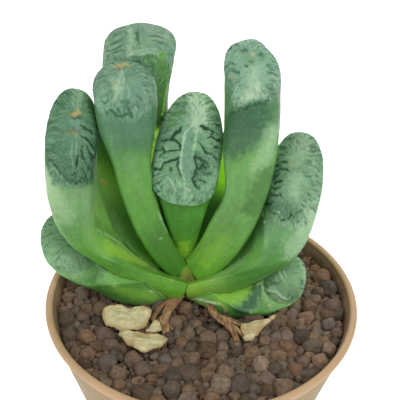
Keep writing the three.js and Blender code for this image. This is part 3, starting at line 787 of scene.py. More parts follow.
        (TEAL, 2.6, 0.2, 0, [(240, 50), (250, 46), (264, 56)]),
        (SHADE, 0.5, 0.7, 0, [(243, 50), (247, 51)]),
        (SHADE, 0.6, 0.7, 0, [(260, 54), (264, 56)]),
        (TAN, 0.4, 0.6, 0, [(253, 53), (254, 58)]),
        (MOSS, 0.3, 0.7, 0, [(249, 61), (254, 62)]),
        (VEIN, 0.22, 0.7, 0, [(245, 65), (247, 67)]),
        (SHADE, 0.3, 0.8, 0, [(229, 62), (235, 65)], [(228, 68), (236, 72), (240, 74)]),
        (SHADE, 0.25, 0.8, 0, [(230, 78), (237, 80)], [(232, 86), (240, 86)]),
        (TAN, 0.3, 0.7, 0.1, [(229, 73), (231, 78), (236, 80)]),
        (SHADE, 0.25, 0.7, 0, [(267, 66), (273, 64)], [(268, 72), (275, 74)], [(269, 80), (276, 82)]),
        (SHADE, 0.25, 0.6, 0, [(268, 88), (275, 91)]),
        (PALE, 1.6, 0.5, 0, [(254, 72), (254, 84)]),
        (TEAL, 1.5, 0.9, 0, [(229, 68), (230, 84), (231, 100), (229, 110)]),
        (SHADE, 0.3, 0.8, 0, [(228, 104), (238, 104)]),
        (SHADE, 0.25, 0.8, 0, [(228, 90), (236, 92)], [(229, 97), (238, 98)]),
        (MILKY, 0.3, 0.5, 0, [(238, 100), (244, 97)]),
        # Pale waxy bloom and painted highlight along the right edge.
        (RIM, 0.9, 0.7, 0, [(279, 92), (280, 112), (278, 132)]),
        (SHADE, 4.5, 0.9, 0, [(230, 126), (242, 122), (252, 116)]),
        (SHADE, 4.5, 0.6, 0, [(256, 120), (266, 110)]),
        (SHADE, 4.0, 0.75, 0, [(230, 146), (240, 140), (250, 134)]),
        (VEIN, 0.26, 0.8, 0, [(244, 110), (248, 107), (251, 109)]),
        (VEIN, 0.22, 0.8, 0, [(251, 107), (255, 104), (257, 107)]),
        (VEIN, 0.2, 0.8, 0, [(257, 105), (260, 102), (263, 105)]),
        (VEIN, 0.2, 0.7, 0, [(228, 116), (232, 113), (236, 112)], [(237, 113), (240, 109), (244, 110)]),
        (VEIN, 0.16, 0.7, 0, [(263, 104), (266, 101), (270, 102)]),
        (SHADE, 1.2, 0.8, 0, [(232, 118), (246, 113), (262, 108)]),
        (MILKY, 1.5, 0.55, 0, [(249, 95), (256, 90)]),
        (PALE, 1.0, 0.5, 0, [(242, 103), (250, 98), (264, 96)]),
        # Pale waxy bloom and painted highlight on the right side.
        (PALE, 2.2, 0.45, 0, [(272, 132), (266, 152), (258, 172)]),
        (LIME, 2.6, 0.35, 0, [(224, 240), (206, 262)]),
        # Painted shade low on the side towards the centre leaf.
        (MOSS, 4.0, 0.15, 0, [(240, 215), (214, 256)]),
        # Painted shade along the side beside the outer leaf.
        (MOSS, 3.0, 0.8, 0, [(268, 176), (260, 196), (252, 208)]),
    ],
    "leaf_right_outer": [
        (PALE, 2.2, 0.5, 0, [(302, 148), (296, 160)]),
        (RIM, 2.0, 0.5, 0, [(292, 138), (306, 140)]),
        (PALE, 2.0, 0.45, 0, [(296, 176), (294, 192)]),
        (TAN, 0.5, 0.3, 0, [(290, 162), (296, 168)]),
        (SHADE, 1.6, 0.75, 0, [(276, 164), (272, 178), (267, 194), (262, 206)]),
        (SHADE, 2.4, 0.5, 0, [(270, 200), (280, 208), (292, 214)]),
        (VEIN, 0.28, 0.9, -0.1, [(274, 184), (278, 182), (282, 181)]),
        (VEIN, 0.24, 0.9, -0.1, [(281, 162), (288, 162)], [(264, 204), (271, 204)]),
        (VEIN, 0.22, 0.9, -0.1, [(277, 170), (283, 169), (290, 171)], [(275, 165), (279, 166)],
         [(273, 176), (279, 176)], [(272, 186), (275, 189), (280, 188)], [(270, 195), (278, 195)]),
        (VEIN, 0.2, 0.9, -0.1, [(280, 192), (282, 197)]),
        (VEIN, 0.2, 0.8, 0, [(280, 147), (286, 148)], [(279, 155), (286, 156)]),
        (SHADE, 0.24, 0.8, 0, [(302, 205), (307, 207)]),
        (SHADE, 0.24, 0.7, 0, [(307, 193), (312, 197)]),
        (SHADE, 0.24, 0.6, 0, [(305, 176), (312, 177)], [(306, 160), (313, 162)]),
        (VEIN, 0.2, 0.9, 0, [(288, 219), (291, 214), (294, 216)]),
        (VEIN, 0.16, 0.9, 0, [(278, 216), (281, 220), (285, 219)]),
        (VEIN, 0.16, 0.8, 0, [(268, 206), (271, 212), (276, 214)]),
        (VEIN, 0.14, 0.7, 0, [(296, 213), (301, 210), (304, 211)]),
        # Painted shade along the inner side, beside the next leaf.
        (TEAL_SHADE, 2.0, 0.5, 0, [(266, 220), (262, 232)]),
        (DOT, 0.5, 0.85, 0.15, [(227, 266), (230, 264)]),
        (DOT, 0.35, 0.9, 0.15, [(262, 214), (263, 215)]),
        (DOT, 0.3, 0.9, 0.15, [(264, 222), (265, 222)]),
        (DOT, 0.25, 0.9, 0.15, [(278, 212), (279, 212)]),
        # Pale waxy bloom and painted highlight on the outer side below the window.
        (PALE, 3.0, 0.6, 0, [(314, 210), (306, 232), (292, 250)]),
        (PALE, 2.4, 0.3, 0, [(240, 262), (216, 276)]),
    ],
    "leaf_right_low": [
        (PALE, 0.3, 0.7, 0.4, [(261, 283), (263, 288), (270, 291), (277, 293), (281, 297), (287, 300)]),
        (PALE, 0.25, 0.5, 0.3, [(278, 271), (281, 278), (284, 282)]),
        (PALE, 0.22, 0.45, 0.25, [(283, 271), (286, 277)]),
        (PALE, 0.3, 0.5, 0.1, [(299, 262), (304, 272), (304, 284), (300, 296)]),
        # Pale waxy bloom and painted highlight on the outer side.
        (PALE, 1.4, 0.5, 0, [(272, 290), (282, 300)]),
        (SHADE, 0.7, 0.6, 0, [(270, 281), (276, 284)]),
        (LIME, 2.6, 0.55, 0, [(222, 299), (236, 294), (250, 287)]),
        (SHADE, 1.8, 0.9, 0, [(257, 290), (252, 304), (240, 312)]),
        (TAN, 0.6, 0.9, 0.2, [(221, 304), (225, 307), (225, 312)]),
        (TAN, 0.4, 0.85, 0.15, [(269, 304), (270, 305)]),
        (PALE, 0.3, 0.6, 0, [(251, 312), (252, 314)]),
        (MILKY, 0.35, 0.8, 0.25, [(186, 297), (200, 300), (212, 303), (219, 304)]),
    ],
    "leaf_left_low": [
        (PALE, 2.4, 0.35, 0, [(62, 262), (76, 268)]),
        (SHADE, 0.35, 0.5, 0, [(66, 246), (73, 244), (80, 250)]),
        (SHADE, 1.2, 0.5, 0, [(90, 254), (98, 262), (102, 274)]),
        (PALE, 0.3, 0.6, 0.1, [(115, 283), (115, 287)]),
        (SCAR, 0.7, 0.3, 0, [(113, 272), (117, 275)]),
        (LIME, 2.0, 0.35, 0, [(118, 290), (150, 296)]),
        (MILKY, 0.3, 0.7, 0.2, [(148, 291), (164, 292), (176, 292), (182, 294)]),
    ],
    "leaf_behind_left": [(SCAR, 0.7, 0.7, 0, [(102, 181), (104, 183)])],
}

# Skin colours of each leaf: foot, middle, upper body, and the window, then how strong the dark
# net of veins and the pale net are in the window.
SKINS = {
    "leaf_centre": ((112, 164, 38), (76, 142, 50), (84, 138, 66), (106, 150, 112), 0.3, 0.5),
    "leaf_left_inner": ((76, 140, 30), (92, 152, 60), (84, 130, 88), (104, 144, 114), 0.6, 0.7),
    "leaf_right_inner": ((108, 170, 52), (108, 162, 84), (100, 148, 94), (128, 168, 138), 0.35, 0.7),
    # leaf_back_tall's middle and upper body tones are painted dark as shade, for it stands behind the leaves
    # in front.
    "leaf_back_tall": ((120, 190, 50), (64, 118, 34), (56, 102, 34), (110, 148, 116), 0.5, 0.6),
    "leaf_left_outer": ((96, 156, 44), (118, 174, 76), (132, 172, 118), (78, 122, 88), 0.5, 0.2),
    "leaf_right_outer": ((132, 180, 62), (106, 162, 80), (118, 166, 110), (116, 156, 118), 0.5, 0.6),
    "leaf_right_low": ((142, 196, 84), (120, 176, 92), (140, 184, 118), (118, 160, 114), 0.3, 0.6),
    "leaf_left_low": ((104, 158, 62), (116, 168, 86), (126, 172, 108), (112, 156, 112), 0.5, 0.5),
    "leaf_behind_left": ((96, 156, 44), (88, 146, 54), (96, 148, 78), (112, 152, 110), 0.5, 0.6),
    "leaf_behind_right": ((96, 156, 44), (88, 146, 54), (96, 148, 78), (116, 156, 112), 0.5, 0.6),
    "leaf_behind_centre": ((96, 156, 44), (88, 146, 54), (92, 144, 74), (112, 152, 110), 0.5, 0.6),
}


# How far the window's look runs down below its near margin, in mm. How brightly light from behind
# comes through the side of a leaf that looks into the rosette, and how far it turns it yellow-green.
SKIRT = {"leaf_centre": 2.2, "leaf_left_inner": 0.6, "leaf_right_inner": -1.2, "leaf_back_tall": 5.0}
HEART_GLOW = {
    "leaf_behind_left": (0.05, 0.4),
    "leaf_behind_right": (0.5, 1.0),
    "leaf_behind_centre": (0.3, 1.0),
}


def near_margin(leaf):
    """1 at the window's margin that is nearest to the leaf's foot, 0 from a little above it."""
    return step(0.35, 0.95, -leaf.v / (leaf.spec["window"][1] / 2))


def window_share(leaf):
    """1 on the window, 0 on the body. The near margin is a soft bend, and the others are crisp."""
    near = near_margin(leaf)
    wobble = fractal(leaf.points * 0.5, 61) - 0.5
    reach = leaf.past_edge + 0.2 + near * SKIRT.get(leaf.name, -0.7) + wobble * (0.5 + 2.4 * near)
    softness = 0.35 + 1.3 * near
    return ease(reach / softness + 0.5)


def rib_place(leaf):
    """Where a point is against the window's midrib: round it, and away from it, in mm."""
    half_wide, half_long = leaf.spec["window"][0] / 2, leaf.spec["window"][1] / 2
    reach = max(half_long - half_wide, 0) * 0.8
    beside = np.clip(leaf.v, -reach, reach)
    beyond = leaf.v - beside
    away = np.hypot(leaf.u, beyond)
    turn = np.sign(beyond) * np.arctan2(np.abs(beyond), np.abs(leaf.u) + 1e-6)
    return beside + turn * 0.7 * half_wide, away


def line_distance(points, line):
    """Distance in mm from each point to a line of points, and how far along the line, from 0 to 1."""
    best = np.full(len(points), 1e9)
    share_along = np.zeros(len(points))
    lengths = [np.linalg.norm(b - a) for a, b in zip(line[:-1], line[1:])]
    total = max(sum(lengths), 1e-9)
    before = 0.0
    for a, b, length in zip(line[:-1], line[1:], lengths):
        run = b - a
        share = np.clip((points - a) @ run / max(length**2, 1e-9), 0, 1)
        distance = np.linalg.norm(points - a - share[:, None] * run, axis=1)
        nearer = distance < best
        share_along[nearer] = (before + share[nearer] * length) / total
        best = np.minimum(best, distance)
        before += length
    return best, share_along


def on_leaf(leaf, tree, pixels):
    """The points of a leaf's skin that show at these pixels of the photograph."""
    found = []
    origin = Vector(CAMERA_PLACE)
    for x, y in pixels:
        ray = Vector(photo_ray(x, y))
        hit = tree.ray_cast(origin, ray)[0]
        if hit is None:
            reach = (Vector(leaf.middle) - origin).dot(ray)
            hit = tree.find_nearest(origin + ray * reach)[0]
        found.append(np.array(hit))
    return found


def add_marks(leaf, colour, relief, glow):
    """Adds the leaf's marks: lines that wander and taper, and patches with ragged edges. Returns ink
    too, how far each point is covered by lines, which the fine veins then leave alone."""
    p = leaf.points
    tree = leaf.tree()
    wander = np.stack([fractal(p * 1.1, seed) - 0.5 for seed in (15, 16, 17)], axis=1)
    thick = 0.5 + 1.2 * fractal(p * 1.7, 19)
    speckle = 0.9 * (fractal(p * 1.5, 27) - 0.5)
    ink = np.zeros(len(p))
    marks = [(*mark[:4], pixels) for mark in MARKS.get(leaf.name, []) for pixels in mark[4:]]
    for tint, half, strength, height, pixels in marks:
        line = on_leaf(leaf, tree, pixels)
        if half < PATCH:
            distance, along = line_distance(p + 0.8 * wander, line)
            reach = (half + 0.05) * thick * (1 - 0.5 * np.abs(2 * along - 1) ** 3)
            share = step(reach + 0.12, reach - 0.12, distance)
            ink = np.maximum(ink, share * strength)
        else:
            distance, along = line_distance(p + 1.8 * wander, line)
            share = step(0.1, 0.9, np.exp(-((distance / half) ** 2)) + speckle)
        colour = blend(colour, tint, share * strength)
        relief += height * np.exp(-((distance / max(half, 0.35)) ** 2))
        glow = glow + MARK_GLOW.get(tint, 0) * share * strength
    return colour, relief, glow, ink


def paint_body(leaf, foot, mid, upper):
    """The skin's colours from foot to window, and the place on it as its streaks run."""
    t = leaf.along
    colour = blend(foot, mid, step(0.05, 0.42, t))
    colour = blend(colour, upper, step(0.55, 0.96, t))
    strands = np.c_[np.cos(leaf.around) * 14, np.sin(leaf.around) * 14, leaf.foot_distance * 0.16]
    streaks = fractal(strands * (0.3, 0.3, 1), 5) - 0.5
    colour *= (1 + 0.14 * streaks + 0.16 * (fractal(leaf.points * 0.25, 35) - 0.5))[:, None]
    flank = step(0.62, 0.98, np.abs(np.cos(leaf.around))) * step(0.15, 0.4, t)
    colour = blend(colour, colour * FLANK_SHADE, flank * (1 - 0.6 * step(0.8, 1, t)))
    return colour, strands


def paint_window(leaf, glass, dark_net, pale_net):
    """The window's colours with a dark and a pale net, the place as its finest veins run, and its relief."""
    flat = np.c_[leaf.u, leaf.v, leaf.u * 0]
    run, away = rib_place(leaf)
    warp = fractal(flat * 0.45, 21) - 0.5
    course = run + 0.4 * away + 1.8 * warp
    ribs = np.c_[course * 2.0, away * 0.75 + 1.5 * warp, 1.4 * np.sign(leaf.u)]
    lumps = fractal(flat * 0.3, 77)
    colour = glass * (1 + 0.26 * (fractal(flat * 0.35, 9, 4) - 0.5))[:, None]
    net = noise(ribs * (0.45, 0.35, 1), 33)
    dark = step(0.07, 0.02, np.abs(net - 0.5)) * step(0.8, 2.2, away) * step(0.42, 0.6, lumps) * dark_net
    lace = fractal(flat * 1.1 + 2.0 * warp[:, None], 45) - 0.5
    pale = step(0.07, 0.0, np.abs(lace)) * (0.3 + 0.7 * step(0.35, 0.6, lumps)) * pale_net
    colour = blend(colour, SHADE, dark * 0.9)
    colour = blend(colour, PALE, pale * 0.45)
    return colour, ribs, 0.1 * (pale - dark)


def paint_leaf(leaf):
    """Gives a leaf its colours and low relief, and returns what its material reads at each point."""
    foot, mid, upper, glass, dark_net, pale_net = (np.array(value, float) for value in SKINS[leaf.name])
    p = leaf.points
    t = leaf.along
    window = window_share(leaf)
    body, strands = paint_body(leaf, foot, mid, upper)
    glassy, ribs, net_relief = paint_window(leaf, glass, dark_net, pale_net)
    colour = blend(body, glassy, window)
    # A pale line round the window's margin, except the near one: partly the margin's own paler colour,
    # partly painted highlight on the edge.
    rim = np.exp(-(((leaf.past_edge + 0.1) / 0.5) ** 2)) * (1 - near_margin(leaf))
    colour = blend(colour, RIM, rim * 0.5)
    relief = net_relief * window + 0.35 * (fractal(p * 0.22, 3) - 0.5) * step(0.1, 0.3, t)
    relief += rim * 0.14 * (noise(p * 2.4, 91) - 0.3)
    inside = step(0.1, 0.7, np.sin(leaf.around)) * step(1.0, 0.85, t) * step(0.5, 0.72, t)
    through, yellowed = HEART_GLOW.get(leaf.name, (0.0, 0.0))
    colour = blend(colour, HEART, yellowed * inside)
    colour, relief, glow, ink = add_marks(leaf, colour, relief, through * inside)
    leaf.points = np.clip(p + point_normals(p, leaf.faces) * relief[:, None], CAD_LOW, CAD_HIGH)
    veined = window * (0.3 + 0.7 * step(0.3, 0.9, leaf.disc)) * (1 - ink)
    dotted = np.maximum(window, 0.55 * step(0.3, 0.75, t)) * (1 - ink)
    layers = {"window": window, "veined": veined, "dotted": dotted, "glow": glow}
    return colour, {**layers, "ribs": ribs, "strands": strands}


def make_leaves():
    leaves = build_leaves()
    for name, leaf in leaves.items():
        colour, layers = paint_leaf(leaf)
        make_object(name + "_skin", leaf.points, leaf.faces, LEAF, [name], colour, layers)
    return leaves


# ---- Pot ----
POT_HEIGHT = 62.0
RIM_RADIUS = 40.0
FOOT_RADIUS = 24.0
POT_WALL = 1.8
POT_FLOOR = 3.8
FOOT_RING_WIDTH = 4.0
FOOT_RECESS = 1.5
DRAIN_RADIUS = 4.5
LIP_HEIGHT = 2.6  # of the slightly thicker band at the top
LIP_PROUD = 0.45
POT_SIDES = 220
OUTSIDE_TONE = (148, 126, 88)
LIP_TONE = (190, 158, 120)
LINE_TONE = (176, 112, 72)  # of the broken line just below the lip
# Painted shade: the inner wall is darker and browner than the outside, and darker still in blotches further
# down.
INSIDE_TONE = (140, 116, 88)
INNER_SHADE_TONE = (92, 66, 48)


def wall_radius(z):
    return FOOT_RADIUS + (RIM_RADIUS - FOOT_RADIUS) * z / POT_HEIGHT


def arc(centre, radius, start, end, count):
    """Points of an arc in (r, z), angles in degrees."""
    angles = np.radians(np.linspace(start, end, count))
    return [(centre[0] + radius * math.cos(a), centre[1] + radius * math.sin(a)) for a in angles]


def pot_profile():
    inner_heights = np.linspace(POT_FLOOR + 2, POT_HEIGHT - 1.4, 24)
    outer_heights = np.linspace(1.2, POT_HEIGHT - LIP_HEIGHT - 0.3, 40)
    inner = [(wall_radius(z) - POT_WALL, z) for z in inner_heights]
    outer = [(wall_radius(z) - LIP_PROUD * step(0, 3, z), z) for z in outer_heights]
    half = (POT_WALL + 0.1) / 2
    lip = arc((RIM_RADIUS - half, POT_HEIGHT - half), half, -20, 190, 22)
    ring_inside = FOOT_RADIUS - FOOT_RING_WIDTH
    foot = arc((FOOT_RADIUS - 1.0, 1.0), 1.0, -90, 0, 6)
    profile = [(DRAIN_RADIUS, FOOT_RECESS), (ring_inside - FOOT_RECESS, FOOT_RECESS), (ring_inside, 0.0)]
    profile += foot + outer + [(wall_radius(POT_HEIGHT - LIP_HEIGHT) - 0.08, POT_HEIGHT - LIP_HEIGHT + 0.1)]
    profile += lip + list(reversed(inner))
    profile += [(wall_radius(POT_FLOOR) - POT_WALL - 1.5, POT_FLOOR), (DRAIN_RADIUS, POT_FLOOR)]
    return np.array(profile)


def turned(profile, sides, closed):
    """A profile in (r, z) turned round +Z. A closed profile makes a ring-like skin."""
    angle = np.linspace(0, 2 * math.pi, sides, endpoint=False)
    r, z = profile[:, 0][:, None], profile[:, 1][:, None]
    rings = np.stack([r * np.cos(angle), r * np.sin(angle), z + angle * 0], axis=2)
    count = len(profile)
    points = rings.reshape(-1, 3)
    faces = grid_faces(count, sides)
    if closed:
        last = (count - 1) * sides
        for j in range(sides):
            k = (j + 1) % sides
            faces.append((last + j, last + k, k, j))
    return points, outward(points, faces)


def make_pot():
    points, faces = turned(pot_profile(), POT_SIDES, True)
    radius = np.hypot(points[:, 0], points[:, 1])
    z = points[:, 2]
    wavy = fractal(points * 0.09, 4) - 0.5
    colour = np.tile(OUTSIDE_TONE, (len(points), 1))
    band = step(POT_HEIGHT - LIP_HEIGHT - 0.6, POT_HEIGHT - LIP_HEIGHT + 0.6, z + wavy)
    colour = blend(colour, LIP_TONE, band)
    line = np.exp(-(((z - POT_HEIGHT + LIP_HEIGHT + 0.2) / 0.45) ** 2))
    broken = step(0.3, 0.6, fractal(points * 0.12, 7))
    colour = blend(colour, LINE_TONE, line * broken * 0.8)
    # Painted shade: the inner wall below the lip is darker and browner, and darker still in blotches towards
    # the grit.
    within = step(0.5, 0.9, wall_radius(z) - radius) * step(POT_HEIGHT - 0.4, POT_HEIGHT - 1.2, z)
    colour = blend(colour, INSIDE_TONE, within)
    blotches = step(0.4, 0.65, fractal(points * 0.25, 8)) * step(POT_HEIGHT - 0.6, POT_HEIGHT - 3, z)
    colour = blend(colour, INNER_SHADE_TONE, blotches * within * 0.7)
    colour *= (1 + 0.06 * wavy)[:, None]
    make_object("pot_body", points, faces, CLAY, ["pot"], colour)


# ---- Grit ----
SOIL_LEVEL = POT_HEIGHT - 3.5
GRIT_SEED = 11
PEBBLE_KINDS = 14
GRAIN_TONE = (112, 93, 76)
GRAIN_HUE = np.array((6, 0, -4))  # from greyer to redder grains
BED_TONE = (46, 36, 30)
BED_TOP = SOIL_LEVEL - 2.6
GRIT_REACH = 37.2
# Layers of grains: count, smallest and largest radius, height against the ground, how much that
# varies, subdivisions of the ball, and how closely the grains are packed.
GRIT_LAYERS = [
    (520, (1.1, 2.1), -2.3, 0.5, 2, 0.8),
    (600, (0.9, 2.8), -1.0, 0.7, 3, 0.98),
    (1300, (0.4, 0.85), -0.75, 1.0, 1, 1.2),
]


def ground_height(x, y):
    waves = 0.35 * np.sin(0.16 * x + 1.2) * np.cos(0.19 * y - 0.4)
    hollow = 1.1 * np.exp(-(((x - 0.5) / 5) ** 2) - ((y + 4.5) / 4) ** 2)
    return SOIL_LEVEL - 0.4 + waves - hollow


def ball(subdivisions):
    """Points and triangles of a unit icosphere."""
    g = (1 + 5**0.5) / 2
    points = [(-1, g, 0), (1, g, 0), (-1, -g, 0), (1, -g, 0), (0, -1, g), (0, 1, g), (0, -1, -g), (0, 1, -g),
              (g, 0, -1), (g, 0, 1), (-g, 0, -1), (-g, 0, 1)]
    points = [tuple(unit(p)) for p in points]
    faces = [(0, 11, 5), (0, 5, 1), (0, 1, 7), (0, 7, 10), (0, 10, 11), (1, 5, 9), (5, 11, 4), (11, 10, 2),
             (10, 7, 6), (7, 1, 8), (3, 9, 4), (3, 4, 2), (3, 2, 6), (3, 6, 8), (3, 8, 9), (4, 9, 5),
             (2, 4, 11), (6, 2, 10), (8, 6, 7), (9, 8, 1)]
    for _ in range(subdivisions):
        middles = {}
        finer = []

        def middle(a, b):
            key = (min(a, b), max(a, b))
            if key not in middles:
                points.append(tuple(unit(np.add(points[a], points[b]))))
                middles[key] = len(points) - 1
            return middles[key]

        for a, b, c in faces:
            ab, bc, ca = middle(a, b), middle(b, c), middle(c, a)
            finer += [(a, ab, ca), (b, bc, ab), (c, ca, bc), (ab, bc, ca)]
        faces = finer
    return np.array(points), np.array(faces)


def pebble_shapes(subdivisions, draws):
    """Rounded, knobbly lumps with a few worn facets."""
    points, faces = ball(subdivisions)
    shapes = []
    for kind in range(PEBBLE_KINDS):
        lump = points * (1 + 0.5 * (fractal(points * 1.3 + 31 * kind, 70 + kind) - 0.5))[:, None]
        for _ in range(9):
            axis = unit(draws.normal(size=3))
            height = draws.uniform(0.68, 0.95)
            over = np.maximum(lump @ axis - height, 0)
            lump = lump - 0.7 * over[:, None] * axis
        lump *= (1 + 0.26 * (fractal(points * 3.2 + 7 * kind, 90 + kind) - 0.5))[:, None]
        lump *= draws.uniform(0.82, 1.12, size=3)
        shapes.append(lump)
    return shapes, faces


def spread(count, radius_range, reach, draws, squeeze):
    """Discs of mixed sizes, shaken apart until they fill a round bed evenly."""
    angle = draws.uniform(0, 2 * math.pi, count)
    place = np.sqrt(draws.uniform(0, 1, count)) * reach
    xy = np.c_[place * np.cos(angle), place * np.sin(angle)]
    size = radius_range[0] + (radius_range[1] - radius_range[0]) * draws.uniform(0, 1, count) ** 1.7
    for _ in range(70):
        gap = xy[:, None, :] - xy[None, :, :]
        distance = np.linalg.norm(gap, axis=2) + np.eye(count) * 99
        wanted = (size[:, None] + size[None, :]) * squeeze
        push = np.maximum(wanted - distance, 0) / distance
        xy = xy + 0.32 * np.sum(gap * push[..., None], axis=1)
        out = np.linalg.norm(xy, axis=1)
        limit = reach - size * 0.9
        xy *= np.minimum(1, limit / np.maximum(out, 1e-6))[:, None]
    return xy, size


def random_turn(draws):
    q = unit(draws.normal(size=4))
    w, x, y, z = q
    return np.array([
        [1 - 2 * (y * y + z * z), 2 * (x * y - z * w), 2 * (x * z + y * w)],
        [2 * (x * y + z * w), 1 - 2 * (x * x + z * z), 2 * (y * z - x * w)],
        [2 * (x * z - y * w), 2 * (y * z + x * w), 1 - 2 * (x * x + y * y)],
    ])


def make_bed():
    """The top and the sides of the soil under the grains."""
    floor = POT_FLOOR + 0.3
    profile = [
        (0.01, floor),
        (wall_radius(POT_FLOOR) - POT_WALL - 1.9, floor),
        (wall_radius(POT_FLOOR + 2) - POT_WALL - 0.3, floor + 2),
        (wall_radius(BED_TOP) - POT_WALL - 0.3, BED_TOP),
    ]
    profile += [(r, BED_TOP) for r in np.linspace(34, 0.01, 12)]
    return turned(np.array(profile), 96, False)


def inside_a_leaf(centre, trees):
    for tree, low, high in trees:
        if np.all(centre > low) and np.all(centre < high):
            found, normal, _, _ = tree.find_nearest(Vector(centre), 6.0)
            if found is not None and (Vector(centre) - found).dot(normal) < -0.2:
                return True
    return False


def make_grit(trees):
    """A bed of soil with layers of grains on it, all one piece."""
    draws = np.random.default_rng(GRIT_SEED)
    bed, bed_faces = make_bed()
    parts = [bed]
    tones = [np.tile(BED_TONE, (len(bed), 1))]
    faces = list(bed_faces)
    start = len(bed)
    for count, sizes, depth, shake, subdivisions, squeeze in GRIT_LAYERS:
        shapes, triangles = pebble_shapes(subdivisions, draws)
        xy, size = spread(count, sizes, GRIT_REACH, draws, squeeze)
        for (x, y), r in zip(xy, size):
            z = ground_height(x, y) + depth + draws.uniform(-shake, shake) + 0.35 * (r - 1.4)
            centre = np.array((x, y, z))
            lump = shapes[draws.integers(PEBBLE_KINDS)] @ random_turn(draws).T * r + centre
            tone = np.array(GRAIN_TONE, float) * draws.uniform(0.78, 1.16)
            tone += draws.uniform(-1, 1) * GRAIN_HUE + draws.uniform(0, 1) ** 8 * 26
            if inside_a_leaf(centre, trees):
                continue
            out = np.hypot(lump[:, 0], lump[:, 1])
            limit = wall_radius(lump[:, 2]) - POT_WALL - 0.1
            lump[:, :2] *= np.minimum(1, limit / np.maximum(out, 1e-6))[:, None]
            parts.append(lump)
            tones.append(np.tile(tone, (len(lump), 1)))
            faces += (triangles + start).tolist()
            start += len(lump)
    points = np.concatenate(parts)
    make_object("grit_bed", points, faces, GRIT, ["soil"], np.concatenate(tones))


# ---- Dry remains and stem ----
DRY_LEAVES = {
    "dry_leaf_left_wide": dict(
        outline=[(-25, -6), (-22, -4.5), (-17.5, -5.5), (-13, -4.5), (-13, -9), (-15.5, -12.5),
                 (-20.5, -12.5), (-24, -10)],
        height=60.3, cup=-0.9, tilt=(0.02, 0.05)),
    "dry_leaf_left_front": dict(
        outline=[(-20, -14), (-17.5, -17.5), (-13.5, -20), (-9.5, -19), (-8, -16), (-10.5, -14.5),
                 (-14.5, -14)],
        height=60.4, cup=-0.8, tilt=(0.05, -0.06)),
    "dry_leaf_left_small": dict(
        outline=[(-12, -10), (-10.5, -10), (-9.5, -12.5), (-11, -13.5), (-13.5, -13)],
        height=60.3, cup=-0.3, tilt=(0.08, 0)),
    "dry_leaf_right": dict(
        outline=[(10.5, -10), (15.5, -8.5), (19, -6.5), (17.5, -9), (15, -11.5), (13, -14.5),
                 (11, -15), (10, -12.5)],
        height=60.4, cup=-0.6, tilt=(-0.03, 0.05)),
}
DRY_THICKNESS = 0.8
DRY_RISE = 1.3  # the most that a dry leaf rises above its own height
EDGE_POINTS = 120
IVORY = (206, 196, 152)
WORN = (160, 132, 86)
STAINED = (168, 140, 92)


def smooth_outline(corners, count):
    """A closed Catmull-Rom curve through corners."""
    corners = np.array(corners, float)
    n = len(corners)
    t = np.linspace(0, n, count, endpoint=False)
    i = np.floor(t).astype(int)
    f = (t - i)[:, None]
    p0, p1, p2, p3 = (corners[(i + k) % n] for k in (-1, 0, 1, 2))
    return 0.5 * (2 * p1 + (p2 - p0) * f + (2 * p0 - 5 * p1 + 4 * p2 - p3) * f**2
                  + (3 * p1 - p0 - 3 * p2 + p3) * f**3)


def make_dry_leaf(name, spec):
    """A thin, creased sheet with a rolled edge."""
    edge = smooth_outline(spec["outline"], EDGE_POINTS)
    middle = edge.mean(0)
    shares = np.linspace(0.02, 1, 30)
    rings = []
    for side, order in ((-1, shares), (1, shares[::-1])):
        for share in order:
            xy = middle + (edge - middle) * share
            lift = spec["cup"] * (share * share - 1) + (xy - middle) @ np.array(spec["tilt"])
            crease = np.abs(fractal(np.c_[xy * (0.16, 0.4), xy[:, :1] * 0], 44) - 0.5) * -3.0
            ripple = (fractal(np.c_[xy, xy[:, :1] * 0] * 0.45, 40) - 0.5) * 2.2 * share
            roll = 0.7 * step(0.75, 1, share) * step(-1, 4, xy[:, 1] - middle[1])
            thick = DRY_THICKNESS / 2 * (1 - 0.7 * share**4)
            height = np.minimum(lift + crease + ripple + roll, DRY_RISE)
            rings.append(np.c_[xy, spec["height"] + height + side * thick])
    points, faces = closed_skin(np.array(rings))
    tone = np.array(IVORY, float) * (0.86 + 0.28 * fractal(points * (0.25, 1.2, 0.5), 6))[:, None]
    rim = np.r_[np.repeat([*shares, *shares[::-1]], EDGE_POINTS), 0, 0]
    tone = blend(tone, WORN, step(0.82, 1, rim) * 0.5)
    blotches = step(0.5, 0.66, fractal(points * 0.35, 13))
    tone = blend(tone, STAINED, blotches * 0.5)
    make_object(name + "_husk", points, faces, DRY, [name], tone)


def tube(route, widths, sides=14, steps=40, flat=1.0):
    """A closed tapering strand along a Bezier route."""
    t = np.linspace(0, 1, steps)
    centres = bezier(route, t)
    tangent = unit(bezier_slope(route, t))
    across = unit(np.cross([0, 0, 1], tangent))
    above = np.cross(tangent, across)
    width = bezier(widths, t)[:, None] / 2
    angle = np.linspace(0, 2 * math.pi, sides, endpoint=False)
    c, s = np.cos(angle)[None, :, None], np.sin(angle)[None, :, None]
    rings = centres[:, None] + c * (across * width)[:, None] + s * flat * (above * width)[:, None]
    rings = rings + (fractal(rings.reshape(-1, 3) * 0.9, 22) - 0.5).reshape(steps, sides, 1) * 0.35
    return closed_skin(rings)


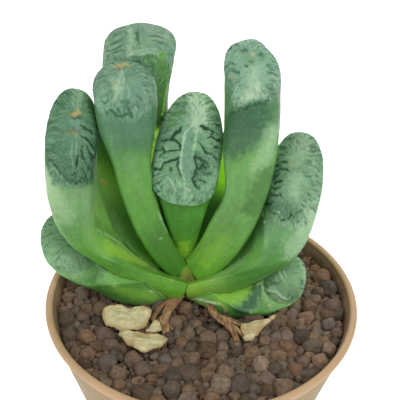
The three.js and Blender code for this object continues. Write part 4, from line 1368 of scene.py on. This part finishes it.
FRAYS = 4
FRAY_REACH = np.array([[0.3], [0.7], [0.9], [1.1]])  # at the four points of a strand's curve
FIBRE_DARK = (104, 68, 44)
FIBRE_PALE = (196, 166, 120)
FIBRE_RUST = (128, 84, 58)
WITHERED = {
    "withered_base_left": [
        ([(-5.4, 0.5, 61.2), (-8, -4, 60.9), (-10.2, -7, 60.2), (-8, -13, 60)], (2.6, 3.2, 2.4, 1.2)),
        ([(-4.6, 0, 61.4), (-6, -4, 61.2), (-9.6, -6, 60.8), (-10.6, -11, 60.2)], (1.4, 1.5, 1.2, 0.5)),
        ([(-5.8, 0, 61.2), (-9, -3, 61.2), (-11.6, -5, 60.8), (-12, -9.4, 60.4)], (1.2, 1.4, 1.0, 0.4)),
    ],
    "withered_base_right": [
        ([(2.2, -3.6, 60.6), (4, -9, 60.4), (8.4, -9.6, 60.2), (8.6, -15.5, 60)], (2.4, 2.8, 2, 1)),
        ([(1.4, -3.4, 61), (3, -7.6, 60.9), (7, -8.6, 60.7), (10.6, -10.6, 60.6)], (1.2, 1.4, 1.1, 0.5)),
        ([(3, -5, 60.8), (5.4, -9, 60.8), (9.4, -10.2, 60.4), (10.4, -14.4, 60.2)], (0.9, 1.1, 0.8, 0.4)),
    ],
}


def make_withered(name, strands):
    """Ragged fibres fanned out round a few main strands."""
    draws = np.random.default_rng(len(name))
    parts = []
    faces = []
    start = 0
    for route, widths in strands:
        for fray in range(FRAYS):
            shift = draws.uniform(-1, 1, size=(4, 3)) * FRAY_REACH * (fray > 0)
            shift[:, 2] *= 0.3
            share = 1.0 if fray == 0 else 0.45
            thinned = [width * share * draws.uniform(0.6, 1) for width in widths]
            points, strand_faces = tube(np.array(route) + shift, thinned, flat=0.4)
            parts.append(points)
            faces += [tuple(i + start for i in face) for face in strand_faces]
            start += len(points)
    points = np.concatenate(parts)
    fibres = noise(np.c_[points[:, 0] * 2.6, points[:, 1] * 0.6, points[:, 2] * 2.6], 18)
    tone = blend(FIBRE_DARK, FIBRE_PALE, fibres)
    rust = step(-9, -3, points[:, 1])
    tone = blend(tone, FIBRE_RUST, rust * 0.5)
    make_object(name + "_strands", points, faces, DRY, [name], tone)


STEM_FOOT = (-4, 8)
STEM_PROFILE = [
    (0.01, 48), (4.0, 48), (4.1, 52), (4.2, 58.5), (4.0, 62),
    (3.4, 64), (2.4, 65.2), (1.2, 65.8), (0.01, 66),
]
STEM_GREEN = (104, 148, 46)
STEM_TAN = (150, 126, 76)


def make_stem():
    """The short stem, green at the top and tan below."""
    points, faces = turned(np.array(STEM_PROFILE), 48, False)
    points = points + (*STEM_FOOT, 0)
    tone = blend(STEM_GREEN, STEM_TAN, step(64.6, 63.0, points[:, 2]))
    tone *= (0.85 + 0.3 * fractal(points * 0.6, 2))[:, None]
    make_object("crown_stem_core", points, faces, DRY, ["crown_stem"], tone)


# ---- Stage ----
FLOOR_HALF = 4.0  # metres, as are the places and sizes of the lights
LIT_PLACE = Vector((0, 0, 0.075))
WORLD_STRENGTH = 0.5
# Name, place, size and watts.
LIGHTS = [
    ("key", (0.35, -0.45, 0.75), 0.5, 3.4),
    ("fill", (-0.6, -0.3, 0.5), 0.6, 1.3),
    ("back", (0.1, 0.7, 0.6), 0.6, 2.5),
]


def make_floor():
    mesh = bpy.data.meshes.new("floor")
    corners = [(-1, -1), (1, -1), (1, 1), (-1, 1)]
    mesh.from_pydata([(x * FLOOR_HALF, y * FLOOR_HALF, 0) for x, y in corners], [], [(0, 1, 2, 3)])
    mesh.materials.append(floor_material())
    floor = bpy.data.objects.new("floor", mesh)
    bpy.context.scene.collection.objects.link(floor)


def make_light(name, place, size, power):
    data = bpy.data.lights.new(name, "AREA")
    data.energy = power
    data.size = size
    light = bpy.data.objects.new(name, data)
    light.location = place
    light.rotation_euler = (LIT_PLACE - Vector(place)).to_track_quat("-Z", "Y").to_euler()
    bpy.context.scene.collection.objects.link(light)


def make_stage():
    make_floor()
    world = bpy.data.worlds.new("studio")
    bpy.context.scene.world = world
    world.use_nodes = True
    background = world.node_tree.nodes["Background"]
    background.inputs["Color"].default_value = WHITE
    background.inputs["Strength"].default_value = WORLD_STRENGTH
    for light in LIGHTS:
        make_light(*light)
    bpy.context.scene.view_settings.view_transform = "Standard"


make_stage()
make_pot()
all_leaves = make_leaves()
leaf_trees = [(leaf.tree(), leaf.points.min(0), leaf.points.max(0)) for leaf in all_leaves.values()]
make_grit(leaf_trees)
make_stem()
for dry_name, dry_spec in DRY_LEAVES.items():
    make_dry_leaf(dry_name, dry_spec)
for withered_name, withered_strands in WITHERED.items():
    make_withered(withered_name, withered_strands)
